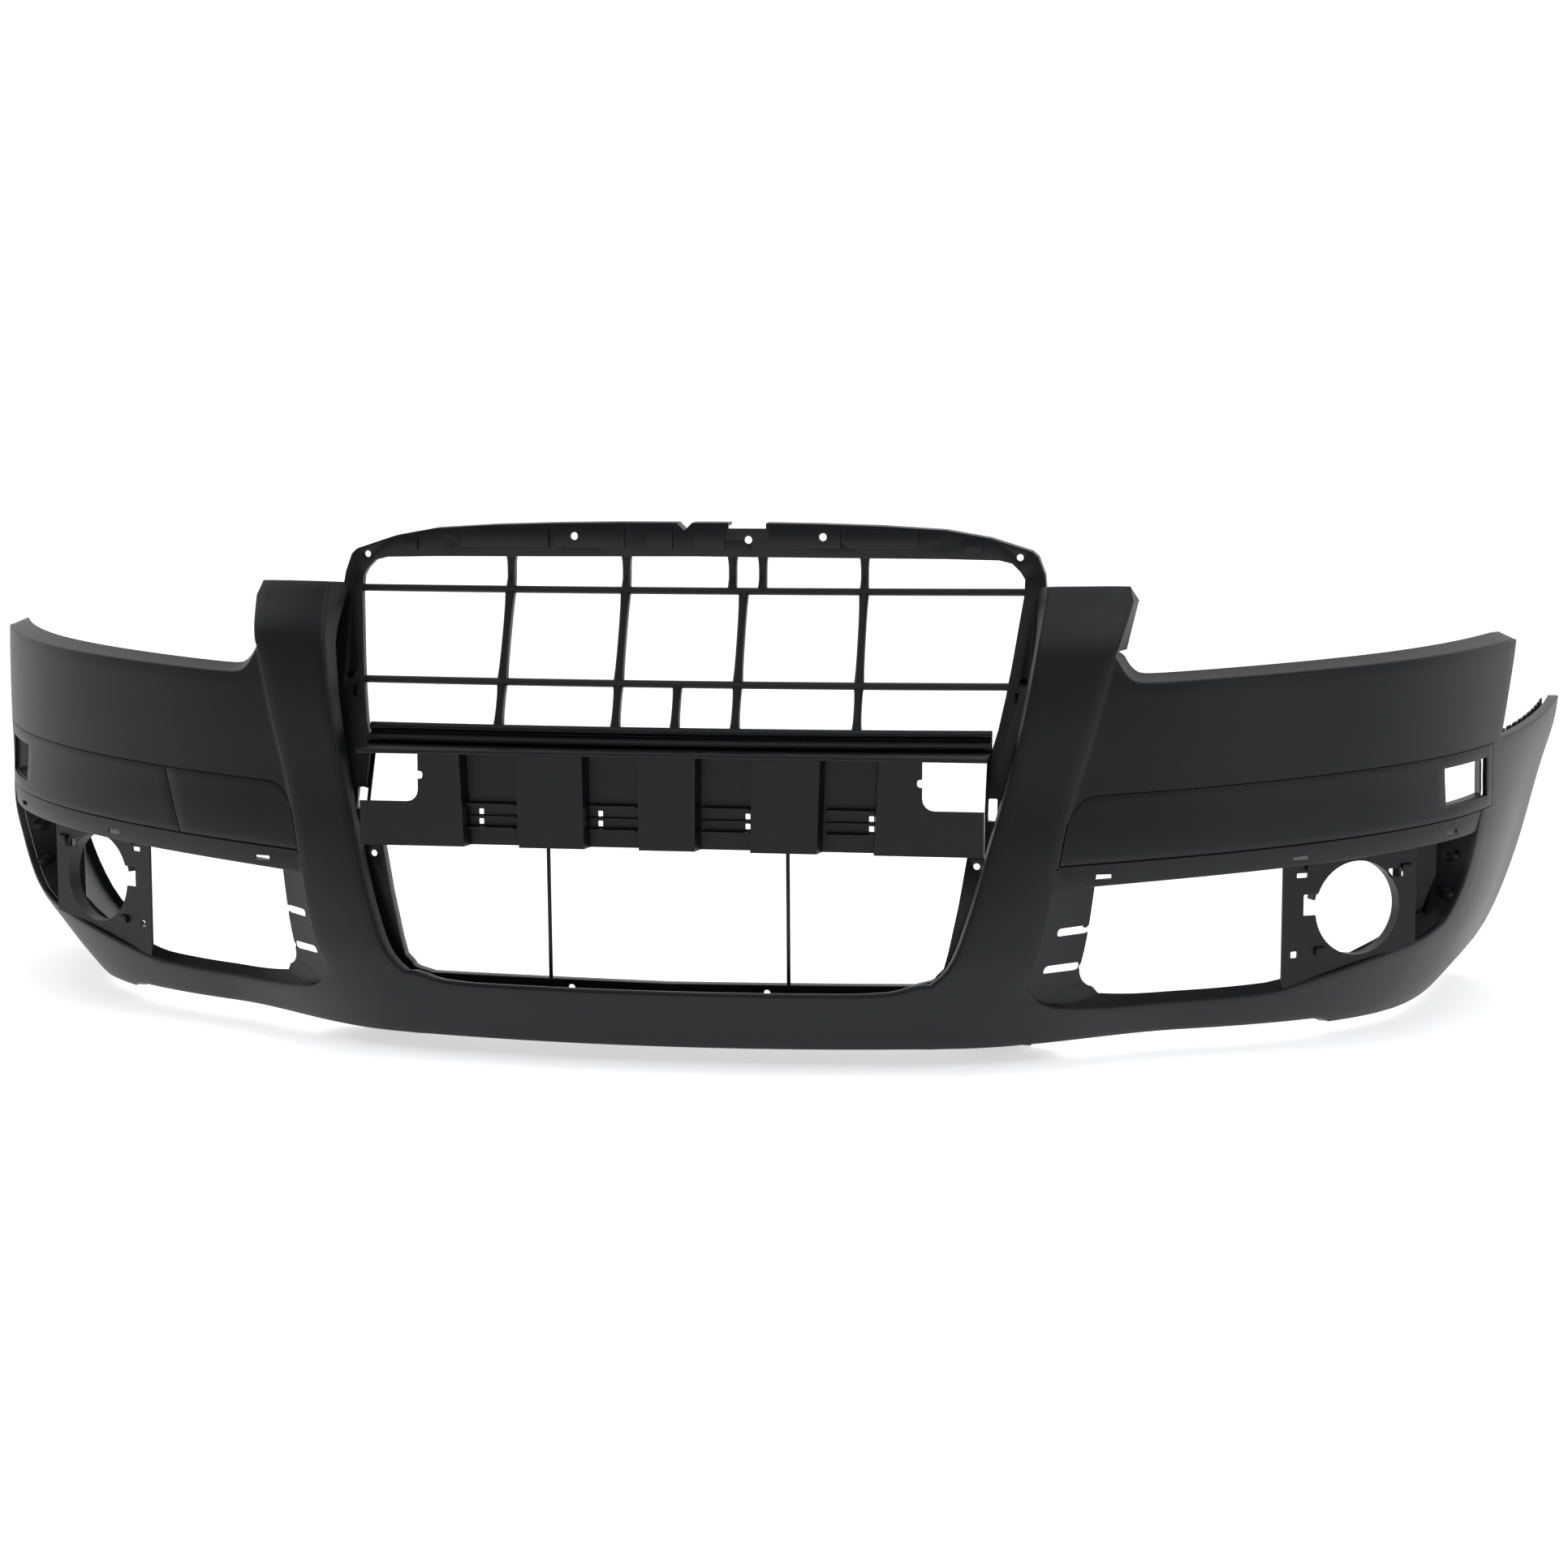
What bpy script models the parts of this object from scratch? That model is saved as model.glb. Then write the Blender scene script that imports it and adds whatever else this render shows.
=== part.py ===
"""Front bumper cover of a mid-size saloon, with its grille carrier, trim strips, vents and towing-eye cap.

Sizes are in millimetres and become metres when a mesh is made. While it is modelled the cover sits in
car coordinates: X to the viewer's right, Y towards the rear, Z up, with Z = 0 at the top edge of the
number-plate panel. At the end everything is set down so that the middle of its base is the origin.
"""
import math

import bmesh
import bpy
import numpy as np
from mathutils import Matrix, Vector

MM = 0.001

# Overall form of the cover
SWEEP = 1310.0            # from the centre line along the bumper to the wheel arch
NOSE_Y = -46.0            # foremost line of the plan
BOTTOM_Z = -284.0         # lower edge of the front lip
CORNER_DROP = 7.0         # how much lower the lip hangs at the corners
PILLAR_TOP_Z = 160.0      # where the pillars beside the grille end
SKIN = 3.0                # wall of the painted cover
RETURN = 14.0             # depth of its folded edges
RIM = 8.0                 # depth of the rims of its recesses and holes
STRIP_FOLD = 3.4         # depth of the rim where strip and recess meet
OUTER_FOLD = 1.0         # the same at the recess' outer corner

# Mouth for the grille
MOUTH_HALF = 374.0        # half width at the pillars' top
LIP_Z = -229.0            # edge of the front lip under the mouth
PILLAR_WIDTH = 68.0       # width of a pillar at its waist

# Trim strip, ledge and towing-eye cap
STRIP_LOW_Z = -100.0      # lower edge of the strip where it starts
STRIP_HEIGHT = 67.0
STRIP_RISE = 0.058        # climb of the strip per millimetre of length
STRIP_THICK = 3.0
STRIP_END = 948.0         # arc length where the strip ends
STRIP_RADIUS = 30.0       # rounded inner corner of the strip
TOW_END = 558.0           # arc length of the split beside the towing-eye cap
TOW_HOLE_RADIUS = 22.0
TOW_HOLE_S = 500.0
TOW_HOLE_Z = -62.0
HINGE_Z = -60.0           # middle of the cap's hinge line
HINGE_PROUD = 1.2         # how far that line stands in front of the cap's edge
LEDGE_HEIGHT = 22.0
LEDGE_DEPTH = 30.0

# Side marker, vent recess and fog lamp
MARKER_START = 845.0
MARKER_LENGTH = 88.0
MARKER_HEIGHT = 40.0
RECESS_END = 908.0        # arc length of the recess' outer edge
SILL_Z = -247.0           # front edge of the recess floor
VENT_WALL = 2.5
LOW_SHARE = 0.82          # height of the liner's sides as a share of the recess
SILL_DEPTH = 24.0
VENT_TAPER = 56.0         # how far the vent's inner wall runs outboard as it goes back
INTAKE_END = 668.0        # arc length where the intake opening ends
FOG_AT = 755.0            # arc length of the fog lamp's axis
FOG_WEB = 7.8             # web left above the lamp hole
FOG_RADIUS = 49.0
BRACKET_END = 818.0       # arc length where the lamp bracket ends
BRACKET_TURN = 28.0       # how far its face is turned outwards from straight ahead, in degrees
BRACKET_FOOT = 16.0       # its foot above the recess floor's front edge

# Headlight cut-out and wing
CUT_Z = 77.0              # top edge of the wing beside the pillar
CUT_RISE = 0.052
WING_END = 968.0          # arc length of the wing's rear edge at the strip
WING_LEAN = 0.42          # how far that edge leans back per millimetre of height
ARCH_RADIUS = 360.0
AXLE_Z = -188.0

# Guide rail, undertray tab and shelf
GUIDE_TEETH = 11
GUIDE_RISE = 3.0
TAB_START = 277.0
TAB_WIDTH = 78.0
TAB_WALL = 4.0
TAB_DROP = 20.0           # how far the tabs hang below the lip
PANEL_HALF = 420.0
PANEL_BACK = 136.0

# Grille carrier
CARRIER = 3.0             # its wall
CARRIER_Y = 37.0          # how far its grille part stands back at the lower edge
CARRIER_FRONT_Y = 4.0     # foremost line of its lower part
CARRIER_LAP = 9.0         # how far it runs outwards behind the cover's edge
BEZEL = 29.0              # how far the grille opening stays inside the cover's edge
GRILLE_HALF = MOUTH_HALF - BEZEL
GRILLE_CORNER = 24.0      # radius of the opening's upper corners
NOTCH_DEPTH = 8.0         # notch in the middle of the flange
RAIL_GAP = 1.5            # clearance beside the plate panel
GRILLE_TOP_Z = 199.0
FLANGE_TOP_Z = 233.0
UPPER_BAR_Z = 164.0
LOWER_BAR_Z = 71.5
GRILLE_LOW_Z = 30.0
GRILLE_LEAN = 0.42        # how far the grille leans back per millimetre of height
GRILLE_BOW = 22.0         # how far its ends stand back from the middle
BAR_HEIGHT = 7.0
BAR_DEPTH = 20.0
UPRIGHT_PITCH = 122.5     # spacing of the uprights
PLATE_INSET = 7.1         # between the plate panel's end and the cover's edge
NOTCH_WIDTH = 61.0        # notches in the panel's upper corners
PLATE_LOW_Z = -90.0
PAD_DEPTH = 18.0          # how far the pads of the plate panel stand forward
PAD_EDGES = (29.0, 86.0, 154.0, 212.0)    # middle pad, outer pads from and to, end fields
PLATE_TOP_Z = 3.0
NOTCH_LOW_Z = -45.0       # bottom of the notches in its upper corners
SLIT_INNER_X = 75.0
SLIT_OUTER_X = 200.0
SLIT_WIDTH = 8.0
SLIT_LOW_Z = -74.0
SLIT_HIGH_Z = -56.0
FRAME_LOW_Z = -222.0      # lower edge of the lower air opening
FRAME_INSET = 18.0        # between the panel's end and the lower opening
FRAME_CORNER = 34.0       # radius of its lower corners
FRAME_OUT_Z = -247.0      # where its rim ends behind the front lip
FRAME_HOLE_RADIUS = 3.4
ROD_X = 121.5
ROD_RADIUS = 2.0
GAP = 0.4                 # clearance between neighbouring pieces


def curve(stations):
    """A smooth curve through (place, value) stations that never overshoots them."""
    places = np.array([station[0] for station in stations], float)
    values = np.array([station[1] for station in stations], float)
    runs = np.diff(places)
    slopes = np.diff(values) / runs
    tangents = np.zeros(len(places))
    tangents[0], tangents[-1] = slopes[0], slopes[-1]
    for k in range(1, len(places) - 1):
        if slopes[k - 1] * slopes[k] > 0:
            ahead, behind = 2 * runs[k] + runs[k - 1], runs[k] + 2 * runs[k - 1]
            tangents[k] = (ahead + behind) / (ahead / slopes[k - 1] + behind / slopes[k])

    def value(place):
        place = min(max(place, places[0]), places[-1])
        k = min(int(np.searchsorted(places, place, side="right")) - 1, len(runs) - 1)
        k = max(k, 0)
        t = (place - places[k]) / runs[k]
        return float(
            (1 + 2 * t) * (1 - t) ** 2 * values[k]
            + t * (1 - t) ** 2 * runs[k] * tangents[k]
            + t * t * (3 - 2 * t) * values[k + 1]
            + t * t * (t - 1) * runs[k] * tangents[k + 1]
        )

    return value


def blend(low, high, t):
    t = min(max(t, 0.0), 1.0)
    return low + (high - low) * t * t * (3 - 2 * t)


# The plan: the direction of the bumper's line turns from straight across to almost straight back.
heading = curve([(0, 0), (0.22, 12.6), (0.333, 18), (0.443, 24.7), (0.534, 33.6), (0.607, 43.8),
                 (0.668, 53.4), (0.74, 63.7), (0.851, 73.3), (1.0, 81.3)])
PLAN_STEP = 2.0
plan_s = np.arange(0, SWEEP * 1.02, PLAN_STEP)
plan_turn = np.radians([heading(s / SWEEP) for s in plan_s])
plan_x = np.concatenate([[0], np.cumsum(np.cos(plan_turn[1:]) * PLAN_STEP)])
plan_y = NOSE_Y + np.concatenate([[0], np.cumsum(np.sin(plan_turn[1:]) * PLAN_STEP)])

# How far the surface stands in from the plan, by height: at the centre, at the front corner, at the rear.
inset_centre = curve([(BOTTOM_Z - 10, 38), (BOTTOM_Z, 31), (LIP_Z, 3), (-195, -4), (-155, -3), (-90, 4),
                      (-26, 14), (49, 22), (107, 37), (PILLAR_TOP_Z, 61)])
inset_corner = curve([(BOTTOM_Z - 10, 98), (BOTTOM_Z, 90), (-233, 53), (-184, 22), (-136, 9), (-87, 1),
                      (-29, 5), (39, 8), (107, 12), (PILLAR_TOP_Z, 64)])
inset_rear = curve([(BOTTOM_Z - 10, 118), (BOTTOM_Z, 109), (-245, 81), (-158, 48), (-57, 24), (5, 9),
                    (39, 6), (107, 4), (PILLAR_TOP_Z, 64)])


def inset(s, z):
    front = blend(inset_centre(z), inset_corner(z), (s - 290) / 270)
    return blend(front, inset_rear(z), (s - 850) / 350)


def wall(s, z, offset):
    """A point at arc length s and height z, offset inwards from the plan."""
    x, y, turn = (float(np.interp(s, plan_s, row)) for row in (plan_x, plan_y, plan_turn))
    return Vector((x - math.sin(turn) * offset, y + math.cos(turn) * offset, z))


def skin_point(s, z, depth=0.0):
    """A point of the cover's outer surface, or one that lies this deep behind it."""
    return wall(s, z, inset(s, z) + depth)


def arc_at(x, z):
    """The arc length at which the surface reaches this half width."""
    low, high = 0.0, SWEEP
    for _ in range(40):
        middle = (low + high) / 2
        low, high = (middle, high) if skin_point(middle, z).x < x else (low, middle)
    return low


# Outlines on the surface, as half widths or arc lengths by height
mouth_share = curve([(LIP_Z, 0.64), (-218, 0.72), (-198, 0.772), (-155, 0.817), (-90, 0.864), (-26, 0.909),
                     (49, 0.955), (PILLAR_TOP_Z, 1.0)])
pillar_share = curve([(LIP_Z - 12, 1.6), (-222, 1.36), (-200, 1.19), (-158, 1.09), (-110, 1.0), (-44, 0.92),
                      (15, 0.96), (62, 1.0), (107, 1.07), (PILLAR_TOP_Z, 1.3)])
recess_outer = curve([(-200, -38), (-190, -27), (-164, -12), (-132, -1), (-88, 3), (-60, 20)])
recess_floor = curve([(366, 13), (400, -1), (493, -7), (645, -4), (722, 12), (781, 26), (830, 37), (860, 46),
                      (RECESS_END - 26, 58), (1000, 67), (1268, 72)])
back_offset = curve([(410, 40), (440, 42), (INTAKE_END, 58), (740, 66), (830, 66), (880, 50), (940, 46)])


def mouth_half(z):
    return MOUTH_HALF * mouth_share(z)


edge_s = curve([(z, arc_at(mouth_half(max(z, -219)), z)) for z in range(-240, 161, 20)])


def crease_s(z):
    return edge_s(z) + PILLAR_WIDTH * pillar_share(z)


STRIP_START = crease_s(-50)
CUT_START = crease_s(107)


def outer_s(z):
    return RECESS_END + recess_outer(z)


def split_s(z):
    return TOW_END + 0.36 * (z + 59)


def rear_s(z):
    return WING_END + WING_LEAN * max(z, 0)


def arch_s(z):
    reach = ARCH_RADIUS ** 2 - (z - AXLE_Z) ** 2
    back = math.sqrt(max(reach, 0)) - math.sqrt(ARCH_RADIUS ** 2 - AXLE_Z ** 2)
    return SWEEP - max(back, 0) * 1.02


def bottom_z(s):
    return BOTTOM_Z - CORNER_DROP * min(max((s - 750) / 16, 0), 1)


lip_corner = curve([(0, 0), (190, 0), (230, 2), (262, 10), (300, 6), (366, -5), (367, -5)])


def lip_z(s):
    if s < 366:
        return LIP_Z + lip_corner(s)
    return SILL_Z + recess_floor(s)


def strip_low_z(s):
    return STRIP_LOW_Z + STRIP_RISE * (s - 390)


def strip_high_z(s):
    near = min(max(1 - (s - STRIP_START) / STRIP_RADIUS, 0), 1)
    return strip_low_z(s) + STRIP_HEIGHT - STRIP_RADIUS * 0.6 * near ** 2


def cut_z(s):
    near = min(max(1 - (s - CUT_START) / 30, 0), 1)
    return CUT_Z + CUT_RISE * max(s - 500, 0) + 30 * near ** 2.6


def marker_low_z(s):
    height = strip_high_z(s) - strip_low_z(s)
    return strip_low_z(s) + (height - MARKER_HEIGHT * height / STRIP_HEIGHT) / 2


def marker_high_z(s):
    return strip_low_z(s) + strip_high_z(s) - marker_low_z(s)


# The net of the cover: guide columns (arc length by height) and guide rows (height by arc length)
PLATE_HALF = mouth_half(PLATE_LOW_Z) - PLATE_INSET
PLATE_NOTCH = PLATE_HALF - NOTCH_WIDTH
FRAME_HALF = PLATE_HALF - FRAME_INSET
FLANGE_HALF = MOUTH_HALF - 64
BRACKET_TOP = LEDGE_HEIGHT + 6.0
FOG_Z = strip_low_z(FOG_AT) - BRACKET_TOP - FOG_WEB - FOG_RADIUS
# name, X, Z and radius of each hole in the grille carrier
CARRIER_HOLES = (("latch_hole", 66, 216, 4), ("screw_hole_left", -115, 219, 4), ("screw_hole_right", 142, 219, 4),
                 ("corner_hole_left", 34 - MOUTH_HALF, 199, 3.5), ("corner_hole_right", MOUTH_HALF - 34, 199, 3.5),
                 ("side_hole_left", 26 - MOUTH_HALF, 76, 4), ("side_hole_right", MOUTH_HALF - 26, 76, 4))
# name, X and Z of each hole in the lower frame
FRAME_HOLES = (("side", FRAME_HALF + 9.4, -101.3), ("corner", FRAME_HALF - 34, -213), ("floor", 99.8, -232))

STEP = 1.2
COLUMNS = [lambda z: 0.0, edge_s, crease_s, lambda z: crease_s(z) + STEP, split_s,
           lambda z: MARKER_START, lambda z: outer_s(z) if z < -62 else MARKER_START + MARKER_LENGTH,
           lambda z: STRIP_END - STEP, lambda z: STRIP_END, rear_s, arch_s]
ROWS = [bottom_z, lip_z, strip_low_z, lambda s: strip_low_z(s) + STEP, marker_low_z, marker_high_z,
        lambda s: strip_high_z(s) - blend(STEP, 9, (s - STRIP_END) / 20), strip_high_z, cut_z,
        lambda s: PILLAR_TOP_Z]
CENTRE, EDGE, CREASE, CHANNEL, SPLIT, MARKER_IN, OUTER, CHANNEL_END, END, REAR, ARCH = range(11)
BOTTOM, LIP, LOW, FLOOR_LOW, MARK_LOW, MARK_HIGH, FLOOR_HIGH, HIGH, CUT, TOP = range(10)
COLUMN_PARTS = [[0.3, 0.55, 0.8], [0.33, 0.67], [], [0.05, 0.11, 0.19, 0.6], [0.2, 0.4, 0.6, 0.8], [0.5],
                [], [], [], [0.1, 0.2, 0.3, 0.4, 0.5, 0.6, 0.7, 0.8, 0.9]]
ROW_PARTS = [[0.25, 0.62], [0.2, 0.42, 0.7], [], [], [0.5], [], [], [0.22, 0.5, 0.78], [0.5]]


def refine(parts):
    """Places of every line of the net, counted in guides: 2.5 lies halfway from guide 2 to guide 3."""
    places = []
    for guide, shares in enumerate(parts):
        places.append(float(guide))
        places += [guide + share for share in shares]
    return places + [float(len(parts))]


def between(guides, place, at):
    first = min(int(place), len(guides) - 2)
    return guides[first](at) + (place - first) * (guides[first + 1](at) - guides[first](at))


def net_point(column, row):
    """Arc length and height where a column and a row of the net cross."""
    s, z = 600.0, -60.0
    for _ in range(30):
        z = between(ROWS, row, s)
        s = 0.5 * s + 0.5 * between(COLUMNS, column, z)
    return s, z


columns, rows = refine(COLUMN_PARTS), refine(ROW_PARTS)
net = {(c, r): net_point(c, r) for c in columns for r in rows}


def make_object(name, bm, material):
    mesh = bpy.data.meshes.new(name)
    bm.to_mesh(mesh)
    bm.free()
    obj = bpy.data.objects.new(name, mesh)
    obj.data.materials.append(material)
    cover.objects.link(obj)
    obj.parent = stand
    return obj


def add_cutter(name, bm):
    mesh = bpy.data.meshes.new(name)
    bmesh.ops.recalc_face_normals(bm, faces=bm.faces)
    bm.to_mesh(mesh)
    bm.free()
    obj = bpy.data.objects.new(name, mesh)
    cutters.objects.link(obj)
    obj.parent = stand
    obj.hide_render = True
    obj.display_type = "WIRE"
    return obj


def cut(obj, cutter, operation="DIFFERENCE"):
    modifier = obj.modifiers.new(cutter.name, "BOOLEAN")
    modifier.operation = operation
    modifier.solver = "EXACT"
    modifier.object = cutter


def thicken(obj, thickness, offset=-1.0):
    modifier = obj.modifiers.new("wall", "SOLIDIFY")
    modifier.thickness = thickness * MM
    modifier.offset = offset
    modifier.use_even_offset = True
    modifier.use_quality_normals = True


def mirrored(obj, name):
    """The same piece for the other side, with its own mesh, wall and cutters."""
    mesh = obj.data.copy()
    mesh.transform(Matrix.Scale(-1, 4, (1, 0, 0)))
    mesh.flip_normals()
    other = bpy.data.objects.new(name, mesh)
    cover.objects.link(other)
    other.parent = stand
    for modifier in obj.modifiers:
        if modifier.type == "SOLIDIFY":
            thicken(other, modifier.thickness / MM, modifier.offset)
        else:
            bm = bmesh.new()
            bm.from_mesh(modifier.object.data)
            bm.transform(Matrix.Scale(-1, 4, (1, 0, 0)))
            cut(other, add_cutter(name + "_hole", bm))
    return other


def set_origin(obj, pivot):
    """Moves an object's origin to a point of its joint's axis, without moving its shape."""
    obj.data.transform(Matrix.Translation(-pivot * MM))
    obj.location = pivot * MM


def material(name, colour, roughness, metallic=0.0):
    made = bpy.data.materials.new(name)
    made.use_nodes = True
    shader = made.node_tree.nodes["Principled BSDF"]
    shader.inputs["Base Color"].default_value = (*colour, 1)
    shader.inputs["Roughness"].default_value = roughness
    shader.inputs["Metallic"].default_value = metallic
    return made


def sheet(points, closed=False):
    """An open surface through rows of points; closed joins each row's end to its start."""
    bm = bmesh.new()
    grid = [[bm.verts.new(point * MM) for point in row] for row in points]
    width = len(grid[0])
    for lower, upper in zip(grid, grid[1:]):
        for k in range(width if closed else width - 1):
            n = (k + 1) % width
            bm.faces.new((lower[k], lower[n], upper[n], upper[k]))
    return bm


def box(low, high):
    bm = bmesh.new()
    bmesh.ops.create_cube(bm, size=1)
    low, high = Vector(low), Vector(high)
    for vert in bm.verts:
        share = vert.co + Vector((0.5, 0.5, 0.5))
        vert.co = Vector([low[k] + share[k] * (high[k] - low[k]) for k in range(3)]) * MM
    return bm


def cylinder(radius, start, end, sides=24):
    bm = bmesh.new()
    start, end = Vector(start), Vector(end)
    bmesh.ops.create_cone(bm, cap_ends=True, segments=sides, radius1=radius * MM, radius2=radius * MM,
                          depth=(end - start).length * MM)
    turn = Vector((0, 0, 1)).rotation_difference(end - start)
    for vert in bm.verts:
        vert.co = turn @ vert.co + (start + end) / 2 * MM
    return bm


def cover_face(c, r):
    """Whether the cell above and outboard of this crossing belongs to the painted cover."""
    if c < EDGE:
        return r < LIP
    if c < CREASE:
        return True
    if r >= CUT:
        return False
    if r >= HIGH and c >= REAR:
        return False
    if CREASE <= c < OUTER and LIP <= r < FLOOR_LOW:
        return False
    return not (MARKER_IN <= c < OUTER and MARK_LOW <= r < MARK_HIGH)


def channel_depth(c, r):
    inside = CHANNEL <= c <= CHANNEL_END and FLOOR_LOW <= r <= FLOOR_HIGH
    return STRIP_THICK + GAP if inside else 0.0


def fold(c, r):
    """How the cover's open edge folds at this crossing: depth inwards, rise, and shift outboard."""
    if r == LOW and c in (CREASE, OUTER):
        return STRIP_FOLD if c == CREASE else OUTER_FOLD, 0.0, 0.0
    if r == TOP:
        return 40.0, 9.0, 0.0
    if c == CREASE and r > CUT:
        return 22.0, 0.0, 13.0
    if r == CUT and c >= CREASE:
        return 22.0, 8.0, 8.0 if c < SPLIT else 0.0
    if c == REAR and r > HIGH:
        return 10.0, 0.0, 0.0
    if r == HIGH and c > END:
        return RETURN, 0.0, 0.0
    if c == ARCH or r == BOTTOM:
        return RETURN, 0.0, 0.0
    if (c <= EDGE and r == LIP) or c == EDGE:
        return RETURN, 0.0, 0.0
    return RIM, 0.0, 0.0


def make_skin(paint):
    bm = bmesh.new()
    verts, places = {}, {}
    for c, c_next in zip(columns, columns[1:]):
        for r, r_next in zip(rows, rows[1:]):
            if not cover_face(c, r):
                continue
            corners = []
            for key in ((c, r), (c_next, r), (c_next, r_next), (c, r_next)):
                if key not in verts:
                    s, z = net[key]
                    verts[key] = bm.verts.new(skin_point(s, z, channel_depth(*key)) * MM)
                    places[verts[key]] = key
                corners.append(verts[key])
            bm.faces.new(corners)
    rims = [edge for edge in bm.edges if edge.is_boundary]
    rims = [edge for edge in rims if not all(places[vert][0] == CENTRE for vert in edge.verts)]
    rims = [edge for edge in rims if not any(places[vert][1] == FLOOR_LOW for vert in edge.verts)]
    roots = {tuple(vert.co): places[vert] for edge in rims for vert in edge.verts}
    made = bmesh.ops.extrude_edge_only(bm, edges=rims)["geom"]
    for vert in [item for item in made if isinstance(item, bmesh.types.BMVert)]:
        c, r = roots[tuple(vert.co)]
        s, z = net[(c, r)]
        depth, rise, shift = fold(c, r)
        vert.co = skin_point(s + shift, z, channel_depth(c, r) + depth) * MM
        vert.co.z = (z + rise) * MM
    bmesh.ops.recalc_face_normals(bm, faces=bm.faces)
    front = max(bm.faces, key=lambda face: face.calc_area())
    if front.normal.y > 0:
        bmesh.ops.reverse_faces(bm, faces=bm.faces)
    skin = make_object("cover_skin", bm, paint)
    mirror = skin.modifiers.new("other_side", "MIRROR")
    mirror.use_axis = (True, False, False)
    mirror.merge_threshold = 0.0001
    thicken(skin, SKIN)
    return skin


def strip_surface(first, last, depth=0.0, marker=True):
    """Part of the trim strip between two guide columns, drawn in from its neighbours by the clearance."""
    bm = bmesh.new()
    verts = {}
    chosen = [c for c in columns if first <= c <= last]
    levels = [r for r in rows if FLOOR_LOW <= r <= FLOOR_HIGH]
    for c, c_next in zip(chosen, chosen[1:]):
        for r, r_next in zip(levels, levels[1:]):
            if marker and MARKER_IN <= c < OUTER and MARK_LOW <= r < MARK_HIGH:
                continue
            corners = []
            for key in ((c, r), (c_next, r), (c_next, r_next), (c, r_next)):
                if key not in verts:
                    s, z = net[key]
                    s += GAP * ((key[0] == first) - (key[0] == last))
                    z += GAP * ((key[1] == FLOOR_LOW) - (key[1] == FLOOR_HIGH))
                    verts[key] = bm.verts.new(skin_point(s, z, depth) * MM)
                corners.append(verts[key])
            bm.faces.new(corners)
    return bm


def make_liner(paint):
    """U-shaped wall of the right-hand vent: inner side, floor and outer side, up to just below the ledge."""
    levels = [r for r in rows if LIP <= r <= LOW]
    across = [c for c in columns if CREASE <= c <= OUTER]
    loop = [(float(CREASE), r) for r in reversed(levels)]
    loop += [(c, float(LIP)) for c in across[1:]] + [(float(OUTER), r) for r in levels[1:]]
    start = crease_s(SILL_Z)
    front, back = [], []
    for c, r in loop:
        s, z = net[(c, r)]
        if r > LIP:
            rise = LOW_SHARE * (z - lip_z(s))
            z, s = lip_z(s) + rise, crease_s(z) if c == CREASE else outer_s(z)
        s += GAP * ((c == CREASE) - (c == OUTER))
        share = (s - start) / (RECESS_END - start)
        front.append(skin_point(s, z + GAP * (r == LIP), RIM + 2 * GAP))
        deep_s = s + VENT_TAPER * (1 - share) ** 2 - 6 * share
        deep_z = z + 10 * (r == LIP)
        back.append(wall(deep_s, deep_z, max(back_offset(deep_s), inset(deep_s, deep_z) + SILL_DEPTH)))
    liner = make_object("vent_liner_right", sheet([front, back]), paint)
    thicken(liner, VENT_WALL)
    return liner


def make_ledge(plastic):
    """Shelf that closes the top of the vent, with a band along its front that stands under the strip."""
    chosen = [c for c in columns if CHANNEL <= c <= OUTER]
    section = []
    for depth, drop in ((0.8, 1.0), (3.0, LEDGE_HEIGHT), (LEDGE_DEPTH, LEDGE_HEIGHT - 4)):
        row = []
        for c in chosen:
            s, z = net[(c, float(LOW))]
            low = crease_s(z - drop) + 4 + max(depth - RIM, 0) * VENT_TAPER / 26
            high = outer_s(z - drop) - 5 - depth / 4
            share = (s - net[(chosen[0], float(LOW))][0]) / (net[(chosen[-1], float(LOW))][0]
                                                             - net[(chosen[0], float(LOW))][0])
            row.append(skin_point(low + share * (high - low), z - drop, depth))
        section.append(row)
    ledge = make_object("strip_ledge_right", sheet(section), plastic)
    thicken(ledge, VENT_WALL, 1.0)
    return ledge


def make_marker_seat(plastic):
    """Tunnel behind the side-marker hole with a narrow lip that the lamp rests on."""
    low_s, high_s = MARKER_START + 1, outer_s(-50) - 1
    loops = []
    for depth, shrink in ((RIM + STRIP_THICK + 2 * GAP, 0), (24, 0), (24, 6)):
        corners = [(low_s + shrink, marker_low_z(low_s) + 1 + shrink),
                   (high_s - shrink, marker_low_z(high_s) + 1 + shrink),
                   (high_s - shrink, marker_high_z(high_s) - 1 - shrink),
                   (low_s + shrink, marker_high_z(low_s) - 1 - shrink)]
        loops.append([skin_point(s, z, depth) for s, z in corners])
    seat = make_object("marker_seat_right", sheet(loops, closed=True), plastic)
    thicken(seat, VENT_WALL, 1.0)
    return seat


def make_fender_guide(plastic):
    """Toothed rail along the top of the wheel-side end, which the wing's edge slides onto."""
    start, stop = WING_END + 24, SWEEP - 24
    pitch = (stop - start) / GUIDE_TEETH
    steps = []
    for tooth in range(GUIDE_TEETH):
        place = start + tooth * pitch
        steps += [(place, 1), (place + 0.55 * pitch, 1), (place + 0.60 * pitch, 0), (place + 0.95 * pitch, 0)]
    points = []
    for level in (0, 1):
        row = []
        for s, tall in steps:
            high = strip_high_z(s) + (GUIDE_RISE if tall else -4)
            row.append(skin_point(s, high if level else strip_high_z(s) - 14, RETURN + 2))
        points.append(row)
    guide = make_object("fender_guide_right", sheet(points), plastic)
    thicken(guide, VENT_WALL)
    return guide


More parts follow.
